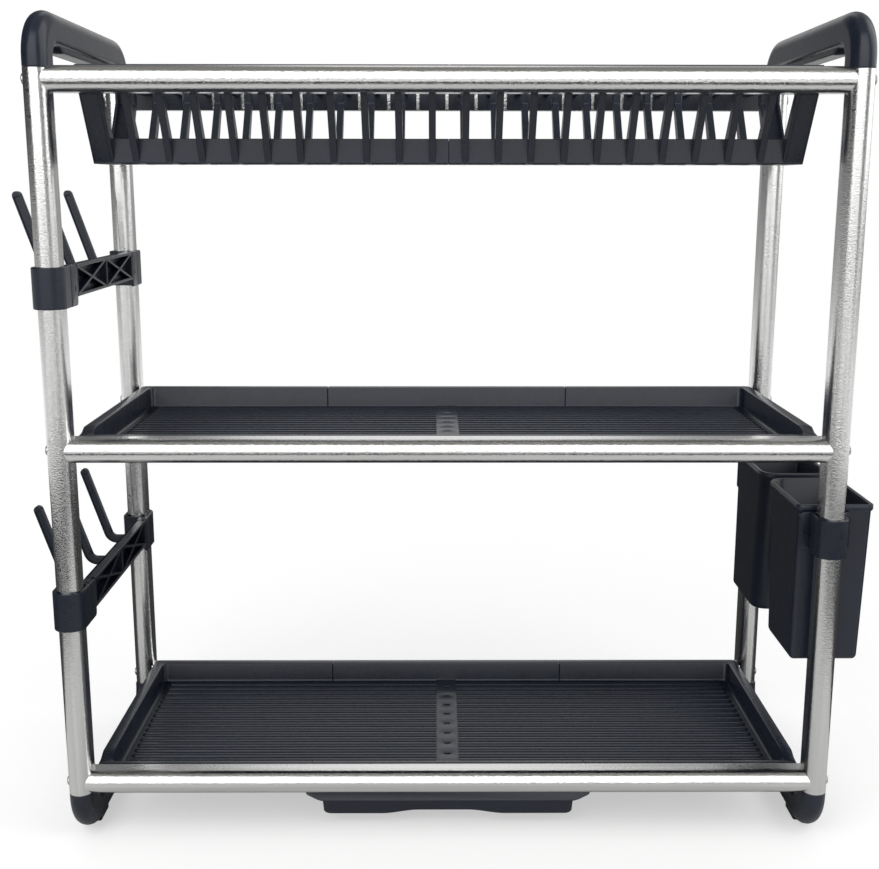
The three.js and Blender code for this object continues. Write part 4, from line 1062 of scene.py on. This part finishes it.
def basket(skin):
    """Tapered cup with a rolled rim: outline insets and heights up the outside, over the rim
    and down the inside to the floor, whose middle is barred by four drain slots."""
    top, low, height = BASKET_TOP, BASKET_BOTTOM, BASKET_TOP - BASKET_BOTTOM
    edge = [(inward, low + rise) for inward, rise in zip(*quarter_round(BASKET_EDGE, 5))]
    stations = [
        (12.0, low), *edge,
        (0.0, top - 6.4), (-0.5, top - 5.6), (-1.5, top - 4.6), (-1.6, top - 4.0),
        (-1.6, top - 0.9), (-1.3, top - 0.25), (-0.7, top), (1.1, top),
        (1.7, top - 0.25), (2.0, top - 0.9), (2.0, low + 7), (2.6, low + 4.4),
        (4.2, low + 2.8), (6.5, low + BASKET_FLOOR), (12.0, low + BASKET_FLOOR),
    ]
    rings = [place(basket_loop((top - z) / height, d), z, "z") for d, z in stations]
    skin.shell(np.stack(rings), joined=True)
    y0, y1 = BASKET_DEPTH[0] + 11.5, BASKET_DEPTH[1] - BASKET_BACK_TAPER - 11.5
    slots = np.linspace(y0 + 6.5, y1 - 6.5, 4)
    edges = np.concatenate([[y0], np.stack([slots - 2, slots + 2], axis=-1).ravel(), [y1]])
    for a, b in edges.reshape(-1, 2):
        skin.shell(block(-10.0, 25.0, a, b, low, low + BASKET_FLOOR, 0.3))
    for side in (-1, 1):
        skin.shell(peg((side * BASKET_PEG_X, BASKET_CLIP_LEVEL), 27.5, 31.0, "y"))
    return skin


def basket_clip(skin):
    """Sleeve with a flat plate behind the post, and a hole at each end of the plate."""
    low, high = sleeve(skin, BASKET_CLIP_LEVEL)
    for side in (1, -1):
        wing = rectangle(9.0, 21.5, low, high, [1, 4, 4, 1], 5) * (side, 1)
        hole = (side * BASKET_PEG_X, BASKET_CLIP_LEVEL)
        skin.shell(ring_prism(wing, hole, PEG_HOLE_RADIUS, 26.3, 29.3, "y", 0.7), joined=True)
    return skin


for end, sy in (("front", 1), ("rear", -1)):
    body = f"{end}_cup"
    where = (1, sy, 1), (POST_X, -sy * FACE_Y, 0)
    basket(Skin(*where)).finish(
        f"cutlery_cup_{end}", soft_slate, body, "slate_plastic_soft", [f"{end}_basket"])
    basket_clip(Skin(*where)).finish(
        f"cup_clip_{end}", slate, body, "slate_plastic", [f"{end}_basket_clip"])


# Studio

def studio_world():
    """White for the camera, even for matt surfaces, and for mirrored rays a studio of bright
    panels and dark gaps, given as levels by azimuth: 0 in front of the drainer, 90 to its right.
    Overhead it is grey. Under the panels the horizon is dark, but light at the back."""
    world = bpy.data.worlds.new("studio")
    bpy.context.scene.world = world
    graph = Graph(world)
    view = graph.node("ShaderNodeTexCoord", None, None, "Generated")
    split = graph.node("ShaderNodeSeparateXYZ", None, {0: view}).socket.node
    x, y, z = (Signal(graph, split.outputs[k]) for k in ("X", "Y", "Z"))
    turn = x.maths("ARCTAN2", x, y * -1.0) / (2 * math.pi) + 0.5
    rise = z.maths("ARCSINE", z) * math.degrees(1)
    levels = {
        -180: 0.49, 180: 0.49, -172: 0.49, -168: 0.12, -140: 0.03, -49: 0.01, -45: 1.0, 29: 1.0,
        34: 0.13, 62: 0.13, 67: 0.95, 126: 0.95, 134: 0.22, 168: 0.19, 173: 0.49,
    }
    stops = [((azimuth + 180) / 360, (level,) * 3) for azimuth, level in levels.items()]
    panels = graph.node("ShaderNodeValToRGB", {"stops": stops}, {0: turn})
    bright = graph.node("ShaderNodeVectorMath", {"operation": "SCALE"}, {0: panels, "Scale": 1.75})
    edge = ((turn - 0.347) * -54.0).maths("MINIMUM", 0.0)
    behind = graph.mix(rise.step(-9.0, -3.0), (0.9, 0.9, 0.9), (0.3, 0.3, 0.3))
    at_back = (turn - 0.5).maths("ABSOLUTE").step(0.36, 0.42)
    below = graph.mix(at_back, (0.045, 0.045, 0.047), behind)
    walls = graph.mix((rise - edge).step(-1.5, 1.5), below, bright)
    studio = graph.mix(rise.step(56.0, 64.0), walls, (0.235, 0.23, 0.215))
    camera, glossy = graph.rays()
    level = graph.mix(glossy, (0.72, 0.73, 0.75), studio)
    colour = graph.mix(camera, level, (1, 1, 1))
    sky = graph.node("ShaderNodeBackground", None, {"Color": colour, "Strength": 1.0})
    graph.node("ShaderNodeOutputWorld", None, {"Surface": sky})


def floor_material():
    """Pale floor, white to the camera save for the object's shadow; mirrored rays see it light in
    an oval in front of the object and dark round it."""
    material = bpy.data.materials.new("pale_floor")
    graph = Graph(material)
    own = object_place(graph, (0.55, 1, 1))
    distance = graph.node("ShaderNodeVectorMath", {"operation": "DISTANCE"}, {
        0: own, 1: (0, FLOOR_LIGHT_Y, 0),
    }, "Value")
    gap = distance.step(0.41, 0.45)
    camera, glossy = graph.rays()
    matt = graph.node("ShaderNodeBsdfDiffuse", None, {
        "Color": graph.mix(glossy * gap, (0.62, 0.615, 0.6), (0.06, 0.06, 0.06)),
    })
    glow = graph.node("ShaderNodeEmission", None, {
        "Color": (1, 1, 1, 1), "Strength": camera * 0.5,
    })
    graph.surface(graph.node("ShaderNodeAddShader", None, {0: matt, 1: glow}))
    return material


def studio_floor():
    """Round flat floor, a little below the feet."""
    mesh = bpy.data.meshes.new("studio_floor")
    rim = np.radians(np.linspace(0, 360, 96, endpoint=False))
    across = FLOOR_RADIUS * np.stack([np.cos(rim), np.sin(rim)], axis=-1)
    points = place(across, -0.0002, "z")
    mesh.from_pydata(points.tolist(), [], [list(range(len(points)))])
    mesh.materials.append(floor_material())
    linked("studio_floor", mesh)


def soft_lamp(name, spot, size, power):
    """Square area lamp turned towards the middle of the object, left out of reflections."""
    lamp = bpy.data.lights.new(name, "AREA")
    lamp.shape, lamp.size, lamp.energy = "SQUARE", size, power
    holder = linked(name, lamp)
    back = unit(np.array(spot) - np.array([0, 0, 0.3]))
    side = unit(np.cross((0, 0, 1), back))
    turn = Matrix(np.stack([side, np.cross(back, side), back], axis=-1).tolist()).to_4x4()
    holder.matrix_world = Matrix.Translation(spot) @ turn
    holder.visible_glossy = False


def studio_camera():
    """Camera whose place and lens give the object's front view from a little above."""
    data = bpy.data.cameras.new("photo_camera")
    data.sensor_width = 36.0
    data.lens = CAMERA_LENS
    data.shift_x, data.shift_y = CAMERA_SHIFT
    data.clip_end = 50.0
    camera = linked("photo_camera", data)
    place_and_turn = Matrix.Translation(CAMERA_PLACE)
    for degrees, axis in CAMERA_TURNS:
        place_and_turn = place_and_turn @ Matrix.Rotation(math.radians(degrees), 4, axis)
    camera.matrix_world = place_and_turn
    bpy.context.scene.camera = camera


studio_world()
studio_floor()
soft_lamp("key_lamp", (-0.9, -1.6, 1.7), 1.2, 14.0)
soft_lamp("fill_lamp", (1.4, -0.9, 1.5), 1.2, 7.0)
studio_camera()
bpy.context.scene.view_settings.view_transform = "Standard"
